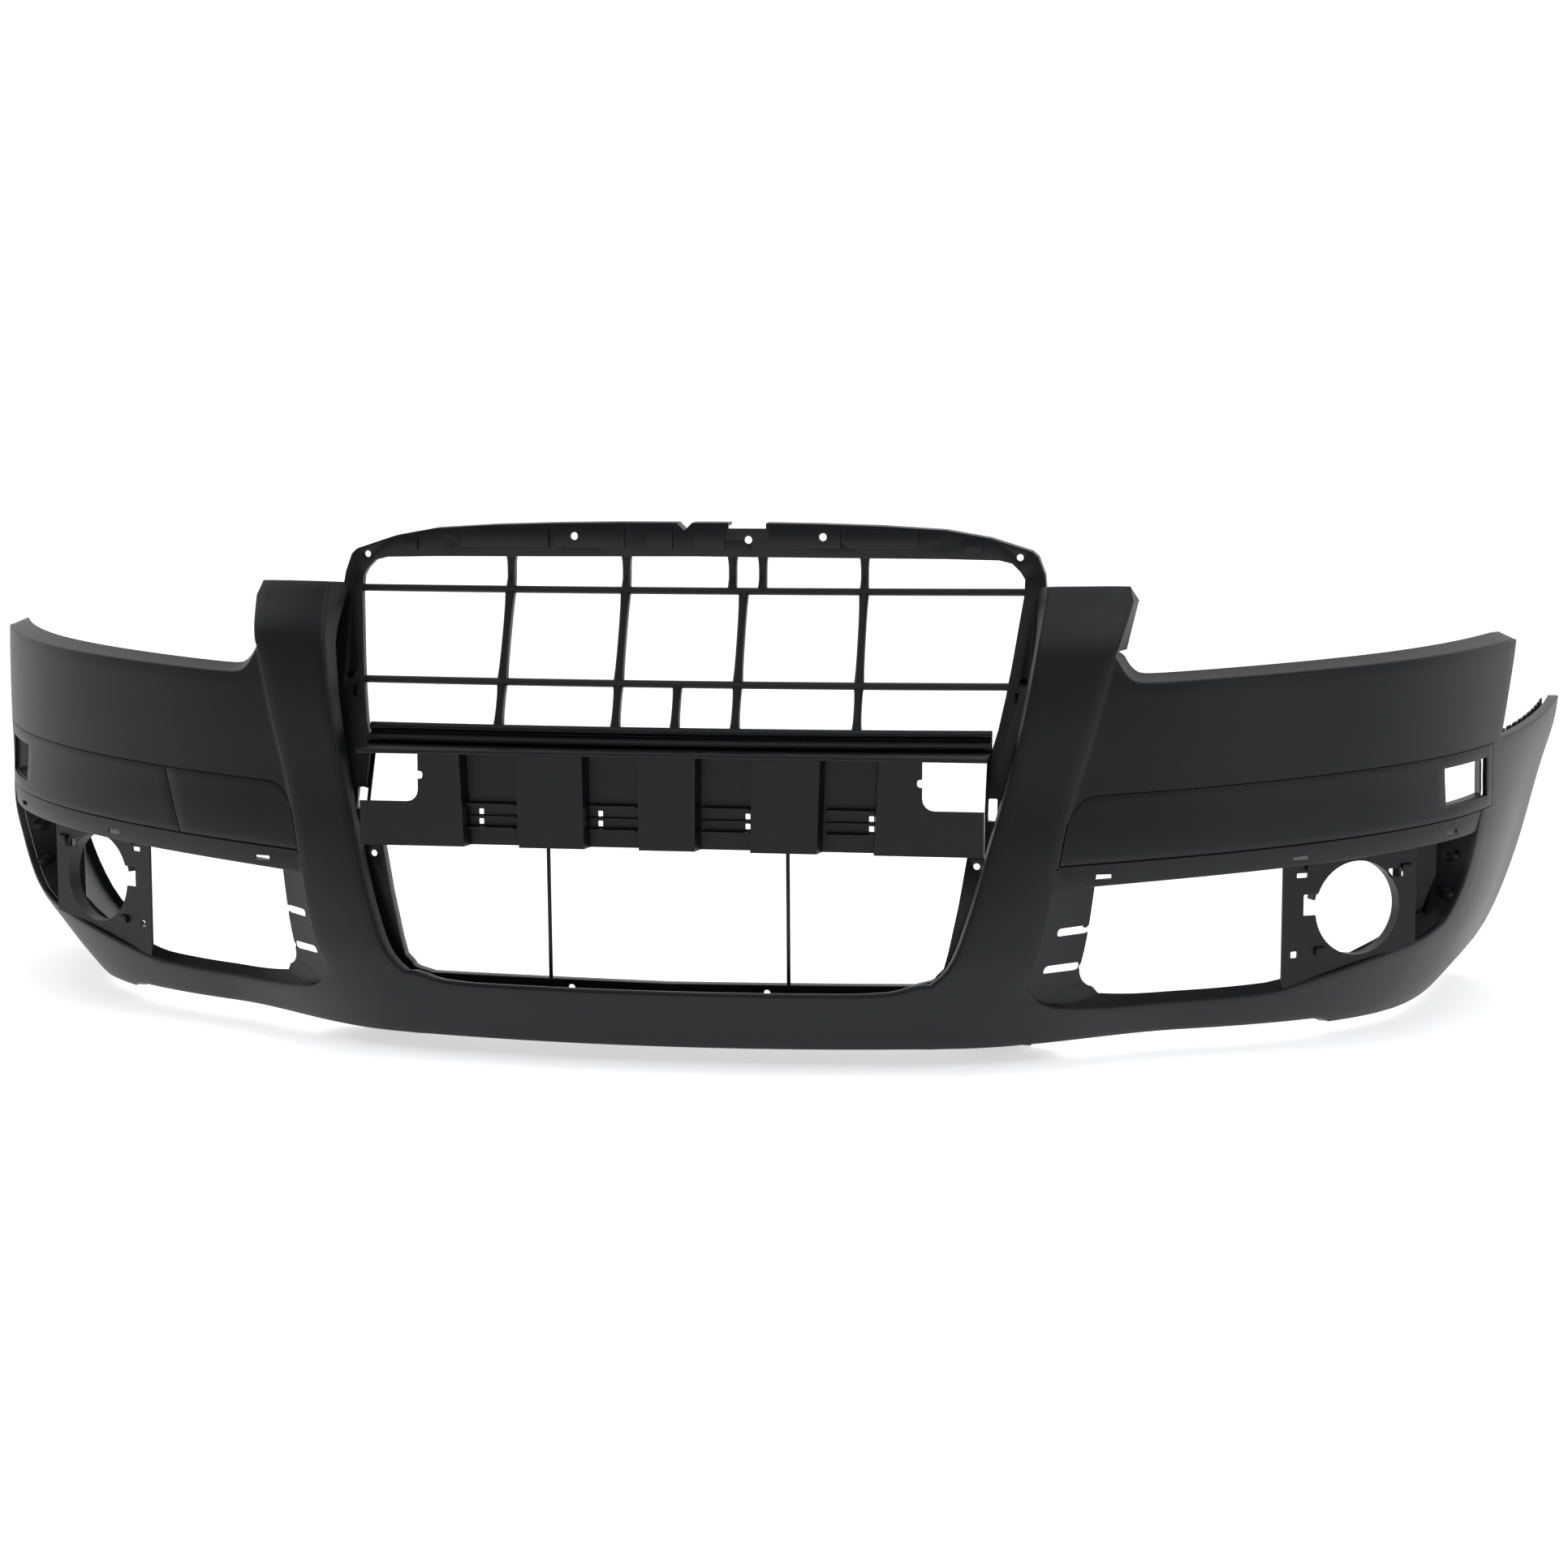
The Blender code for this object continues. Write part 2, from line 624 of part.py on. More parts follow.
def make_tab(plastic):
    """Fixing tab for the engine undertray, behind the shelf and hanging below it."""
    front = PANEL_BACK + GAP
    bm = box((TAB_START, front, BOTTOM_Z - TAB_DROP), (TAB_START + TAB_WIDTH, front + TAB_WALL, BOTTOM_Z + CARRIER))
    return make_object("undertray_tab_right", bm, plastic)


def make_under_panel(plastic):
    """Flat shelf behind the lip, on which the undertray is fastened."""
    points = []
    for depth in (RETURN + 2, 30, 46):
        row = []
        for k in range(-6, 7):
            spot = skin_point(abs(k) * PANEL_HALF / 6, BOTTOM_Z, depth)
            row.append(Vector((math.copysign(spot.x, k), spot.y, BOTTOM_Z)))
        points.append(row)
    points.append([Vector((point.x, PANEL_BACK, BOTTOM_Z)) for point in points[-1]])
    panel = make_object("under_panel", sheet(points), plastic)
    thicken(panel, CARRIER, 1.0)
    return panel


def bracket_point(s, z, depth=0.0):
    """Place on the lamp bracket's flat front, and behind it."""
    start = wall(INTAKE_END, z, back_offset(INTAKE_END) + 4)
    turn = math.radians(BRACKET_TURN)
    along, back = s - INTAKE_END, Vector((-math.sin(turn), math.cos(turn), 0)) * depth
    return start + Vector((math.cos(turn), math.sin(turn), 0)) * along + back


def make_fog_bracket(plastic):
    """Flat upright plate that carries the fog lamp and ends the air intake."""
    points = []
    for high in (False, True):
        row = []
        for share in (0, 0.2, 0.4, 0.6, 0.8, 1):
            s = INTAKE_END + share * (BRACKET_END - INTAKE_END)
            floor = recess_floor(s) + SILL_Z + BRACKET_FOOT
            row.append(bracket_point(s, strip_low_z(s) - BRACKET_TOP if high else floor))
        points.append(row)
    plate = make_object("fog_lamp_bracket_right", sheet(points), plastic)
    thicken(plate, CARRIER, -1.0)
    hole = cylinder(FOG_RADIUS, bracket_point(FOG_AT, FOG_Z, -40), bracket_point(FOG_AT, FOG_Z, 40), 48)
    cut(plate, add_cutter("fog_hole_right", hole))
    return plate


def carrier_y(x, z):
    """Front face of the grille carrier: leaning back above the plate panel, bowed in plan."""
    height = min(z, UPPER_BAR_Z + 12) - GRILLE_LOW_Z
    return max(CARRIER_Y + height * GRILLE_LEAN, CARRIER_FRONT_Y) + GRILLE_BOW * (x / GRILLE_HALF) ** 2


def opening_half(z):
    return mouth_half(min(z, PILLAR_TOP_Z)) - BEZEL


def make_grille_frame(plastic):
    """Hoop of the grille carrier: two side rails joined over the top by the bonnet-lock flange."""
    inner, outer = [], []
    for z in (PLATE_LOW_Z - 1, -60, -25, 5):
        inner.append((PLATE_HALF + RAIL_GAP, z))
        outer.append((mouth_half(z) + CARRIER_LAP, z))
    for z in (GRILLE_LOW_Z + 1, 62, 95, 130, UPPER_BAR_Z - 2):
        inner.append((opening_half(z), z))
        outer.append((min(mouth_half(z) + CARRIER_LAP, MOUTH_HALF - 7), z))
    inner.append((GRILLE_HALF, 177))
    outer.append((MOUTH_HALF - 9, 181))
    for turn, reach in ((30, 8), (60, 14)):
        angle = math.radians(turn)
        inner.append((GRILLE_HALF - 1 - GRILLE_CORNER * (1 - math.cos(angle)),
                      GRILLE_TOP_Z - CARRIER - GRILLE_CORNER * (1 - math.sin(angle))))
        outer.append((MOUTH_HALF - 8 - reach, 192 + reach * 0.9))
    inner.append((GRILLE_HALF - 2 - GRILLE_CORNER, GRILLE_TOP_Z - CARRIER))
    outer.append((FLANGE_HALF, 218))
    for share, z in ((0.855, 226), (0.645, 230), (0.435, 232), (0.226, FLANGE_TOP_Z)):
        x = share * FLANGE_HALF
        inner.append((x, GRILLE_TOP_Z - 2 * x / 300))
        outer.append((x, z))
    inner.append((12, GRILLE_TOP_Z))
    outer.append((8, FLANGE_TOP_Z))
    inner.append((0, GRILLE_TOP_Z))
    outer.append((0, FLANGE_TOP_Z - NOTCH_DEPTH))
    bm_points = []
    for share in (0.0, 0.5, 1.0):
        row = []
        for (xi, zi), (xo, zo) in zip(inner, outer):
            x, z = xi + (xo - xi) * share, zi + (zo - zi) * share
            row.append(Vector((x, carrier_y(x, z), z)))
        bm_points.append(row)
    back_in = [point + Vector((0, 10, 0)) for point in bm_points[0]]
    back_out = [point + Vector((0, 22, 1)) for point in bm_points[2]]
    bm = sheet([back_in] + bm_points + [back_out])
    frame = make_object("grille_frame", bm, plastic)
    mirror = frame.modifiers.new("other_side", "MIRROR")
    mirror.use_axis = (True, False, False)
    mirror.merge_threshold = 0.0001
    thicken(frame, CARRIER, 1.0)
    for name, x, z, radius in CARRIER_HOLES:
        y = carrier_y(x, z)
        cut(frame, add_cutter(name, cylinder(radius, (x, y - 30, z), (x, y + 12, z), 16)))
    return frame


def bar_points(x, z, height, depth, across):
    """Four corners of a bar's section; across bars run left to right, uprights bottom to top."""
    y = carrier_y(x, z) + 1
    if across:
        return [Vector((x, y, z - height / 2)), Vector((x, y + depth, z - height / 2 + 2)),
                Vector((x, y + depth, z + height / 2 + 2)), Vector((x, y, z + height / 2))]
    return [Vector((x - height / 2, y, z)), Vector((x + height / 2, y, z)),
            Vector((x + height / 2 - 1, y + depth, z)), Vector((x - height / 2 + 1, y + depth, z))]


def closed_loft(sections):
    bm = sheet(sections, closed=True)
    bmesh.ops.holes_fill(bm, edges=[edge for edge in bm.edges if edge.is_boundary], sides=0)
    bmesh.ops.recalc_face_normals(bm, faces=bm.faces)
    return bm


def cross_bar(name, z, plastic):
    reach = opening_half(z) - 2 * GAP
    stops = [reach * k / 7 for k in range(-7, 8)]
    bm = closed_loft([bar_points(x, z, BAR_HEIGHT, BAR_DEPTH, True) for x in stops])
    return make_object(name, bm, plastic)


def upright(name, x, low, high, plastic):
    stops = [low + (high - low) * k / 3 for k in range(4)]
    bm = closed_loft([bar_points(x, z, BAR_HEIGHT + 1, BAR_DEPTH - 4, False) for z in stops])
    return make_object(name, bm, plastic)


def make_uprights(plastic):
    """Uprights of the grille, row by row between the cross bars."""
    middle = (LOWER_BAR_Z + BAR_HEIGHT / 2 + 2.6, UPPER_BAR_Z - BAR_HEIGHT / 2 - 0.6)
    bottom = (GRILLE_LOW_Z + 1.0, LOWER_BAR_Z - BAR_HEIGHT / 2 - 0.6)
    top = (UPPER_BAR_Z + BAR_HEIGHT / 2 + 2.6, GRILLE_TOP_Z - CARRIER - 2)
    outer, inner = 1.5 * UPRIGHT_PITCH, 0.5 * UPRIGHT_PITCH
    layout = {
        "top": (top, (-outer, -inner, 50, 81, outer)),
        "middle": (middle, (-outer, -inner, inner, outer)),
        "bottom": (bottom, (-outer, -inner, 0, inner, outer)),
    }
    for row, ((low, high), places) in layout.items():
        for number, x in enumerate(places, 1):
            upright(f"grille_upright_{row}_{number}", x, low, high, plastic)


def rail_section(x):
    """Section of the rail between grille and plate panel, with its double ridge."""
    back = carrier_y(x, GRILLE_LOW_Z)
    corners = [(back, GRILLE_LOW_Z), (back - 5, GRILLE_LOW_Z), (back - 14, GRILLE_LOW_Z - 7),
               (back - 17, GRILLE_LOW_Z - 6), (back * 0.35, 9), (3, 8), (3, 4), (back, 4)]
    return [Vector((x, y, z)) for y, z in corners]


def make_lower_rail(plastic):
    half = PLATE_HALF
    return make_object("grille_lower_rail",
                       closed_loft([rail_section(half * k / 8) for k in range(-8, 9)]), plastic)


def make_plate_panel(plastic):
    """Corrugated panel behind the number plate: end fields and three pads stand forward."""
    pad, pad_in, pad_out, field = PAD_EDGES
    pads = ((-PLATE_HALF, -field), (-pad_out, -pad_in), (-pad, pad), (pad_in, pad_out), (field, PLATE_HALF))
    line = []
    for low, high in pads:
        if low != -PLATE_HALF:
            line.append((low - 1, PAD_DEPTH))
        line += [(low, 0.0), (high, 0.0)]
        if high != PLATE_HALF:
            line.append((high + 1, PAD_DEPTH))
    points = []
    for z in (PLATE_LOW_Z, PLATE_TOP_Z):
        points.append([Vector((x, y, z)) for x, y in line])
    panel = make_object("plate_panel", sheet(points), plastic)
    thicken(panel, CARRIER, -1.0)
    for side, name in ((-1, "left"), (1, "right")):
        hole = box((PLATE_NOTCH, -30, NOTCH_LOW_Z), (PLATE_HALF + 20, 30, 30))
        bmesh.ops.scale(hole, vec=(side, 1, 1), verts=hole.verts)
        cut(panel, add_cutter("plate_corner_" + name, hole))
    for number, x in enumerate((-SLIT_OUTER_X, -SLIT_INNER_X, SLIT_INNER_X, SLIT_OUTER_X), 1):
        low, high = (x - SLIT_WIDTH / 2, PAD_DEPTH - 8, SLIT_LOW_Z), (x + SLIT_WIDTH / 2, 40, SLIT_HIGH_Z)
        cut(panel, add_cutter(f"plate_slit_{number}", box(low, high)))
    return panel


def make_lower_frame(plastic):
    """U-shaped frame round the lower air opening."""
    top = PLATE_LOW_Z - 2
    inner = [(FRAME_HALF, top), (FRAME_HALF - 8, -140), (FRAME_HALF - 18, FRAME_LOW_Z + FRAME_CORNER)]
    outer = [(mouth_half(top) + 10, top), (mouth_half(-140) + 10, -140),
             (mouth_half(-190) + 10, -190)]
    for turn in (30, 60, 90):
        angle = math.radians(turn)
        inner.append((FRAME_HALF - 18 - FRAME_CORNER + FRAME_CORNER * math.cos(angle),
                      FRAME_LOW_Z + FRAME_CORNER - FRAME_CORNER * math.sin(angle)))
    outer += [(mouth_half(-212) + 8, -218), (mouth_half(-218) - 8, -236),
              (FRAME_HALF - 18 - FRAME_CORNER, FRAME_OUT_Z + 2)]
    for x in (180, 120, 60, 0):
        inner.append((x, FRAME_LOW_Z - 3 + 3 * x / 246))
        outer.append((x, FRAME_OUT_Z))
    points = []
    for share in (0.0, 1.0):
        row = []
        for (xi, zi), (xo, zo) in zip(inner, outer):
            x, z = xi + (xo - xi) * share, zi + (zo - zi) * share
            row.append(Vector((x, 6 + 12 * min(1, (abs(x) / FRAME_HALF) ** 2) + 2 * share, z)))
        points.append(row)
    back = [point + Vector((0, 14, 0)) for point in points[0]]
    frame = make_object("lower_frame", sheet([back] + points), plastic)
    mirror = frame.modifiers.new("other_side", "MIRROR")
    mirror.use_axis = (True, False, False)
    mirror.merge_threshold = 0.0001
    thicken(frame, CARRIER, -1.0)
    for name, x, z in FRAME_HOLES:
        for side in (-1, 1):
            hole = cylinder(FRAME_HOLE_RADIUS, (side * x, -20, z), (side * x, 40, z), 12)
            cut(frame, add_cutter(f"frame_hole_{name}_{'left' if side < 0 else 'right'}", hole))
    return frame


def make_rod(name, x, plastic):
    low = Vector((x, 10, FRAME_LOW_Z - 1))
    high = Vector((x, 4, PLATE_LOW_Z - GAP))
    return make_object(name, cylinder(ROD_RADIUS, low, high, 10), plastic)


for obj in list(bpy.data.objects):
    bpy.data.objects.remove(obj, do_unlink=True)
cover = bpy.data.collections.new("bumper_cover")
cutters = bpy.data.collections.new("cutters")
bpy.context.scene.collection.children.link(cover)
bpy.context.scene.collection.children.link(cutters)
stand = bpy.data.objects.new("base_centre", None)
cover.objects.link(stand)

primer = material("primed_plastic", (0.042, 0.043, 0.048), 0.5)
black = material("black_plastic", (0.012, 0.013, 0.016), 0.42)

skin = make_skin(primer)
tow_hole = skin_point(TOW_HOLE_S, TOW_HOLE_Z)
cut(skin, add_cutter("tow_hole", cylinder(TOW_HOLE_RADIUS, (-tow_hole.x, tow_hole.y - 60, TOW_HOLE_Z),
                                          (-tow_hole.x, tow_hole.y + 60, TOW_HOLE_Z))))

strip = make_object("trim_strip_right", strip_surface(CHANNEL, CHANNEL_END), primer)
thicken(strip, STRIP_THICK)
pattern = make_object("strip_pattern", strip_surface(SPLIT, CHANNEL_END), primer)
thicken(pattern, STRIP_THICK)
mirrored(pattern, "trim_strip_left")
bpy.data.objects.remove(pattern)
pattern = make_object("cap_pattern", strip_surface(CHANNEL, SPLIT, marker=False), primer)
thicken(pattern, STRIP_THICK)
tow_cover = mirrored(pattern, "tow_cover")
bpy.data.objects.remove(pattern)
hinge = skin_point(split_s(HINGE_Z), HINGE_Z, -HINGE_PROUD)
set_origin(tow_cover, Vector((-hinge.x, hinge.y, hinge.z)))

for piece in (make_liner(primer), make_ledge(black), make_fog_bracket(black), make_marker_seat(black),
              make_fender_guide(black), make_tab(black)):
    mirrored(piece, piece.name.replace("_right", "_left"))
make_under_panel(black)
make_grille_frame(black)
cross_bar("grille_cross_bar_upper", UPPER_BAR_Z, black)
cross_bar("grille_cross_bar_lower", LOWER_BAR_Z, black)
make_uprights(black)
make_lower_rail(black)
make_plate_panel(black)
make_lower_frame(black)
make_rod("support_rod_left", -ROD_X, black)
make_rod("support_rod_right", ROD_X, black)

bpy.context.view_layer.update()
graph = bpy.context.evaluated_depsgraph_get()
corners = [obj.evaluated_get(graph).matrix_world @ Vector(corner)
           for obj in cover.objects if obj.type == "MESH"
           for corner in obj.evaluated_get(graph).bound_box]
front_y, rear_y = min(c.y for c in corners), max(c.y for c in corners)
stand.location = (0, -(front_y + rear_y) / 2, -min(c.z for c in corners))
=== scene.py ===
import math

import bmesh
import bpy
import numpy as np
from mathutils import Matrix, Vector


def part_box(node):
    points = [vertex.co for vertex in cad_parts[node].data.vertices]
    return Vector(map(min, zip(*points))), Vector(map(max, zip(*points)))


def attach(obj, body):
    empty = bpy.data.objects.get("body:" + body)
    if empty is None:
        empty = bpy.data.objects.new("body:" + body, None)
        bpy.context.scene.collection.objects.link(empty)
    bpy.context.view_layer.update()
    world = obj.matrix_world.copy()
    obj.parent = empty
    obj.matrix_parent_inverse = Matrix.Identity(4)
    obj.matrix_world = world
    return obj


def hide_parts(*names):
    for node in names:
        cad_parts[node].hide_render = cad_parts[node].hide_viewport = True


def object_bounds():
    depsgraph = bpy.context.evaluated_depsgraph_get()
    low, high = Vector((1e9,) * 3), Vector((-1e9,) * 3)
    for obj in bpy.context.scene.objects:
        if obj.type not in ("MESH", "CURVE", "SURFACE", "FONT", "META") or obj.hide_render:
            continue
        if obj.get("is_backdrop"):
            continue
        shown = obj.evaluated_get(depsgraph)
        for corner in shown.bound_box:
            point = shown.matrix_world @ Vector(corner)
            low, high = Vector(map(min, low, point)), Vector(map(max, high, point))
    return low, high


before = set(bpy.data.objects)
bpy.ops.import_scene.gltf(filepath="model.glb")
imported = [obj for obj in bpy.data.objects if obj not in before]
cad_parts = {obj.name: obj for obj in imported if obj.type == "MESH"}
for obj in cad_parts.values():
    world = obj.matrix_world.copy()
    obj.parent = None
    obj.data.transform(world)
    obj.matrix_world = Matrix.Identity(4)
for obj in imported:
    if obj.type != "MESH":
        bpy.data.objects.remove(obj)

cadBox = [[float(value) for value in corner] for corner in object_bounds()]
mm = 0.001


def note(text):
    print("[bumper]", text)


# Car coordinates, in millimetres: Z is 0 at the plate panel's top edge less its 3 mm lip, Y at its face.
plateLow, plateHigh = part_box("plate_panel")
carOrigin = Vector((0, plateLow[1], plateHigh[2] - 3 * mm))


def place(point):
    return Vector(point) * mm + carOrigin


def blend(low, high, share):
    share = min(max(share, 0.0), 1.0)
    return low + (high - low) * share * share * (3 - 2 * share)


def curve(stations):
    # smooth curve through (place, value) stations that never overshoots them
    places = np.array([station[0] for station in stations], float)
    values = np.array([station[1] for station in stations], float)
    runs = np.diff(places)
    slopes = np.diff(values) / runs
    tangents = np.zeros(len(places))
    tangents[0], tangents[-1] = slopes[0], slopes[-1]
    for k in range(1, len(places) - 1):
        if slopes[k - 1] * slopes[k] > 0:
            ahead, behind = 2 * runs[k] + runs[k - 1], runs[k] + 2 * runs[k - 1]
            tangents[k] = (ahead + behind) / (ahead / slopes[k - 1] + behind / slopes[k])

    def value(spot):
        spot = min(max(spot, places[0]), places[-1])
        k = max(min(int(np.searchsorted(places, spot, side="right")) - 1, len(runs) - 1), 0)
        t = (spot - places[k]) / runs[k]
        return float((1 + 2 * t) * (1 - t) ** 2 * values[k] + t * (1 - t) ** 2 * runs[k] * tangents[k]
                     + t * t * (3 - 2 * t) * values[k + 1] + t * t * (t - 1) * runs[k] * tangents[k + 1])

    return value


# The cover's surface: a plan line by its heading, and how far the wall stands in from it at each height
cover = {
    "sweep": 1310.0,          # length of the plan line from the middle to the wheel arch
    "noseY": -45.85,
    "bottomZ": -284.0,
    "cornerDrop": 7.0,
    "lipZ": -229.0,
    "sillZ": -247.0,
    "pillarTopZ": 171.0,
    "mouthHalf": 374.0,
    "pillarWidth": 68.0,
    "creaseStep": 2.2,        # the wing stands this far behind the pillar beside the crease
    "wall": 2.0,
    "stripLowZ": -100.0,
    "stripHeight": 67.0,
    "stripRise": 0.058,
    "stripEnd": 948.0,
    "stripRadius": 30.0,
    "stripGap": 0.7,
    "stripThick": 3.0,
    "splitS": 558.0,
    "markerS": 845.0,
    "markerLength": 88.0,
    "markerHeight": 40.0,
    "recessEnd": 908.0,
    "cutZ": 77.0,
    "cutRise": 0.052,
    "wingEnd": 968.0,
    "wingLean": 0.42,
    "archRadius": 360.0,
    "archFold": 2.4,          # the folded edge of the wheel arch keeps this much inside the sweep
    "axleZ": -188.0,
}
heading = curve([(0, 0), (0.22, 12.6), (0.333, 18), (0.443, 24.7), (0.534, 33.6), (0.607, 43.8),
                 (0.668, 53.4), (0.74, 63.7), (0.851, 73.3), (1.0, 81.3)])
planStep = 2.0
planS = np.arange(0, cover["sweep"] * 1.02, planStep)
planTurn = np.radians([heading(s / cover["sweep"]) for s in planS])
planX = np.concatenate([[0], np.cumsum(np.cos(planTurn[1:]) * planStep)])
planY = cover["noseY"] + np.concatenate([[0], np.cumsum(np.sin(planTurn[1:]) * planStep)])
insetCentre = curve([(-294, 38), (-284, 31), (-229, 3), (-195, -4), (-155, -3), (-90, 4), (-26, 14),
                     (49, 22), (107, 37), (160, 61), (171, 67)])
insetCorner = curve([(-294, 98), (-284, 90), (-233, 53), (-184, 22), (-136, 9), (-87, 1), (-29, 5),
                     (39, 8), (107, 12), (160, 64), (171, 74)])
insetRear = curve([(-294, 118), (-284, 109), (-245, 81), (-158, 48), (-57, 24), (5, 9), (39, 6),
                   (107, 4), (160, 64), (171, 74)])


def inset(s, z):
    front = blend(insetCentre(z), insetCorner(z), (s - 290) / 270)
    return blend(front, insetRear(z), (s - 850) / 350)


def wallPoint(s, z, offset):
    x, y, turn = (float(np.interp(s, planS, row)) for row in (planX, planY, planTurn))
    return Vector((x - math.sin(turn) * offset, y + math.cos(turn) * offset, z))


def arcAt(x, z):
    low, high = 0.0, cover["sweep"]
    for _ in range(30):
        middle = (low + high) / 2
        short = wallPoint(middle, z, inset(middle, z)).x < x
        low, high = (middle, high) if short else (low, middle)
    return low


mouthShare = curve([(-229, 0.64), (-218, 0.72), (-198, 0.772), (-155, 0.817), (-90, 0.864), (-26, 0.909),
                    (49, 0.955), (160, 1.0)])
pillarShare = curve([(-241, 1.6), (-222, 1.36), (-200, 1.19), (-158, 1.09), (-110, 1.0), (-44, 0.92),
                     (15, 0.96), (62, 1.0), (107, 1.07), (160, 1.3)])
recessOuter = curve([(-200, -38), (-190, -27), (-164, -12), (-132, -1), (-88, 3), (-60, 20)])
recessFloor = curve([(366, 13), (400, -1), (493, -7), (645, -4), (722, 12), (781, 26), (830, 37), (860, 46),
                     (882, 58), (1000, 67), (1268, 72)])
lipCorner = curve([(0, 0), (190, 0), (230, 2), (262, 10), (300, 6), (366, -5), (367, -5)])


def mouthHalf(z):
    return cover["mouthHalf"] * mouthShare(z)


edgeS = curve([(z, arcAt(mouthHalf(max(z, -219)), z)) for z in range(-240, 161, 10)])


def creaseS(z):
    return edgeS(z) + cover["pillarWidth"] * pillarShare(z)


def skinPoint(s, z, depth=0.0):
    beyond = s - creaseS(z)
    step = cover["creaseStep"] * blend(0, 1, (beyond + 1) / 7) * (1 - blend(0, 1, (beyond - 8) / 150))
    if z < -105:
        step *= blend(0, 1, (z + 125) / 20)
    return wallPoint(s, z, inset(s, z) + depth + step)


def splitS(z):
    return cover["splitS"] + 0.36 * (z + 59)


def archS(z):
    reach = cover["archRadius"] ** 2 - (z - cover["axleZ"]) ** 2
    back = math.sqrt(max(reach, 0)) - math.sqrt(cover["archRadius"] ** 2 - cover["axleZ"] ** 2)
    return cover["sweep"] - cover["archFold"] - max(back, 0) * 1.02


def bottomZ(s):
    return cover["bottomZ"] - cover["cornerDrop"] * min(max((s - 750) / 16, 0), 1)


def lipZ(s):
    return cover["lipZ"] + lipCorner(s) if s < 366 else cover["sillZ"] + recessFloor(s)


def stripLowZ(s):
    return cover["stripLowZ"] + cover["stripRise"] * (s - 390)


stripStart, cutStart = creaseS(-50) + 3.5, creaseS(107)


def stripHighZ(s):
    near = min(max(1 - (s - stripStart) / cover["stripRadius"], 0), 1)
    drop = cover["stripRadius"] * (1 - math.sqrt(1 - 0.985 * near ** 2))
    return stripLowZ(s) + cover["stripHeight"] - drop


def cutZ(s):
    near = min(max(1 - (s - cutStart) / 30, 0), 1)
    return cover["cutZ"] + cover["cutRise"] * max(s - 500, 0) + 30 * near ** 2.6


def markerLowZ(s):
    height = stripHighZ(s) - stripLowZ(s)
    return stripLowZ(s) + height * (1 - cover["markerHeight"] / cover["stripHeight"]) / 2


def markerHighZ(s):
    return stripLowZ(s) + stripHighZ(s) - markerLowZ(s)


def outerS(z):
    return cover["recessEnd"] + recessOuter(z)


gap = cover["stripGap"]
columnGuides = [lambda z: 0.0, edgeS, creaseS, lambda z: creaseS(z) + 3.5, lambda z: creaseS(z) + 3.5 + gap,
                splitS, lambda z: cover["markerS"],
                lambda z: outerS(z) if z < -62 else cover["markerS"] + cover["markerLength"],
                lambda z: cover["stripEnd"] - gap, lambda z: cover["stripEnd"],
                lambda z: cover["wingEnd"] + cover["wingLean"] * max(z, 0), archS]
centre, edge, crease, stripRim, stripIn, split, markerIn, outer, stripOut, stripEnd, rear, arch = range(12)
rowGuides = [bottomZ, lipZ, stripLowZ, lambda s: stripLowZ(s) + gap, markerLowZ, markerHighZ,
             lambda s: stripHighZ(s) - blend(gap, 9, (s - cover["stripEnd"]) / 20), stripHighZ, cutZ,
             lambda s: cover["pillarTopZ"]]
bottom, lip, low, stripLow, markLow, markHigh, stripHigh, high, cut, top = range(10)
columnCells = [26, 7, 2, 1, 0, 20, 6, 2, 1, 3, 26]
rowCells = [7, 12, 1, 2, 5, 2, 1, 9, 7]
# shares of a wide cell, closer together beside a round corner
nearCells = (.015, .03, .05, .075, .1, .13, .17, .22, .3, .4, .5, .6, .7, .8, .9)


def refine(cells):
    places = []
    for guide, count in enumerate(cells):
        shares = nearCells if count == 0 else [k / count for k in range(1, count)]
        places += [float(guide)] + [guide + share for share in shares]
    return places + [float(len(cells))]


def between(guides, spot, at):
    first = min(int(spot), len(guides) - 2)
    near = guides[first](at)
    return near + (spot - first) * (guides[first + 1](at) - near) if spot > first else near


columns, rows = refine(columnCells), refine(rowCells)
net = {}
for column in columns:
    s, z = 600.0, -280.0
    for row in rows:
        for _ in range(14):
            z = between(rowGuides, row, s)
            s = 0.4 * s + 0.6 * between(columnGuides, column, z)
        net[(column, row)] = (s, z)
note("net of %d points" % len(net))


def coverFace(c, r):
    if c < edge:
        return r < lip
    if c < crease:
        return True
    if r >= cut or (r >= high and c >= rear):
        return False
    if crease <= c < outer and lip <= r < low:
        return False
    if stripIn <= c < outer and lip <= r < stripLow:
        return False
    return not (markerIn <= c < outer and markLow <= r < markHigh)


def channelDepth(c, r):
    return cover["stripThick"] + 0.4 if stripIn <= c <= stripOut and stripLow <= r <= stripHigh else 0.0


def foldOf(c, r):
    # radius of the rounded edge, depth inwards, rise and shift outboard of the folded flange
    if r == top:
        return 2.0, 26.0, -2.0, 0.0
    if c == crease and r > cut:
        return 3.0, 22.0, 0.0, 12.0
    if r == cut and c >= crease:
        return 3.5, 21.0, 7.0, 7.0 if c < stripIn + 0.3 else 0.0
    if c >= rear and r >= high or c == arch:
        return 2.0, 12.0, 0.0, 0.0
    if c <= edge and r == lip or c == edge:
        return 4.0, 13.0 + 26 * max(r - high, 0) / (top - high), 0.0, 0.0
    if r == bottom:
        return 3.0, 13.0, 0.0, 0.0
    if markerIn <= c <= outer and markLow <= r <= markHigh:
        return 0.6, 1.6, 0.0, 0.0
    return 3.0, 8.0, 0.0, 0.0


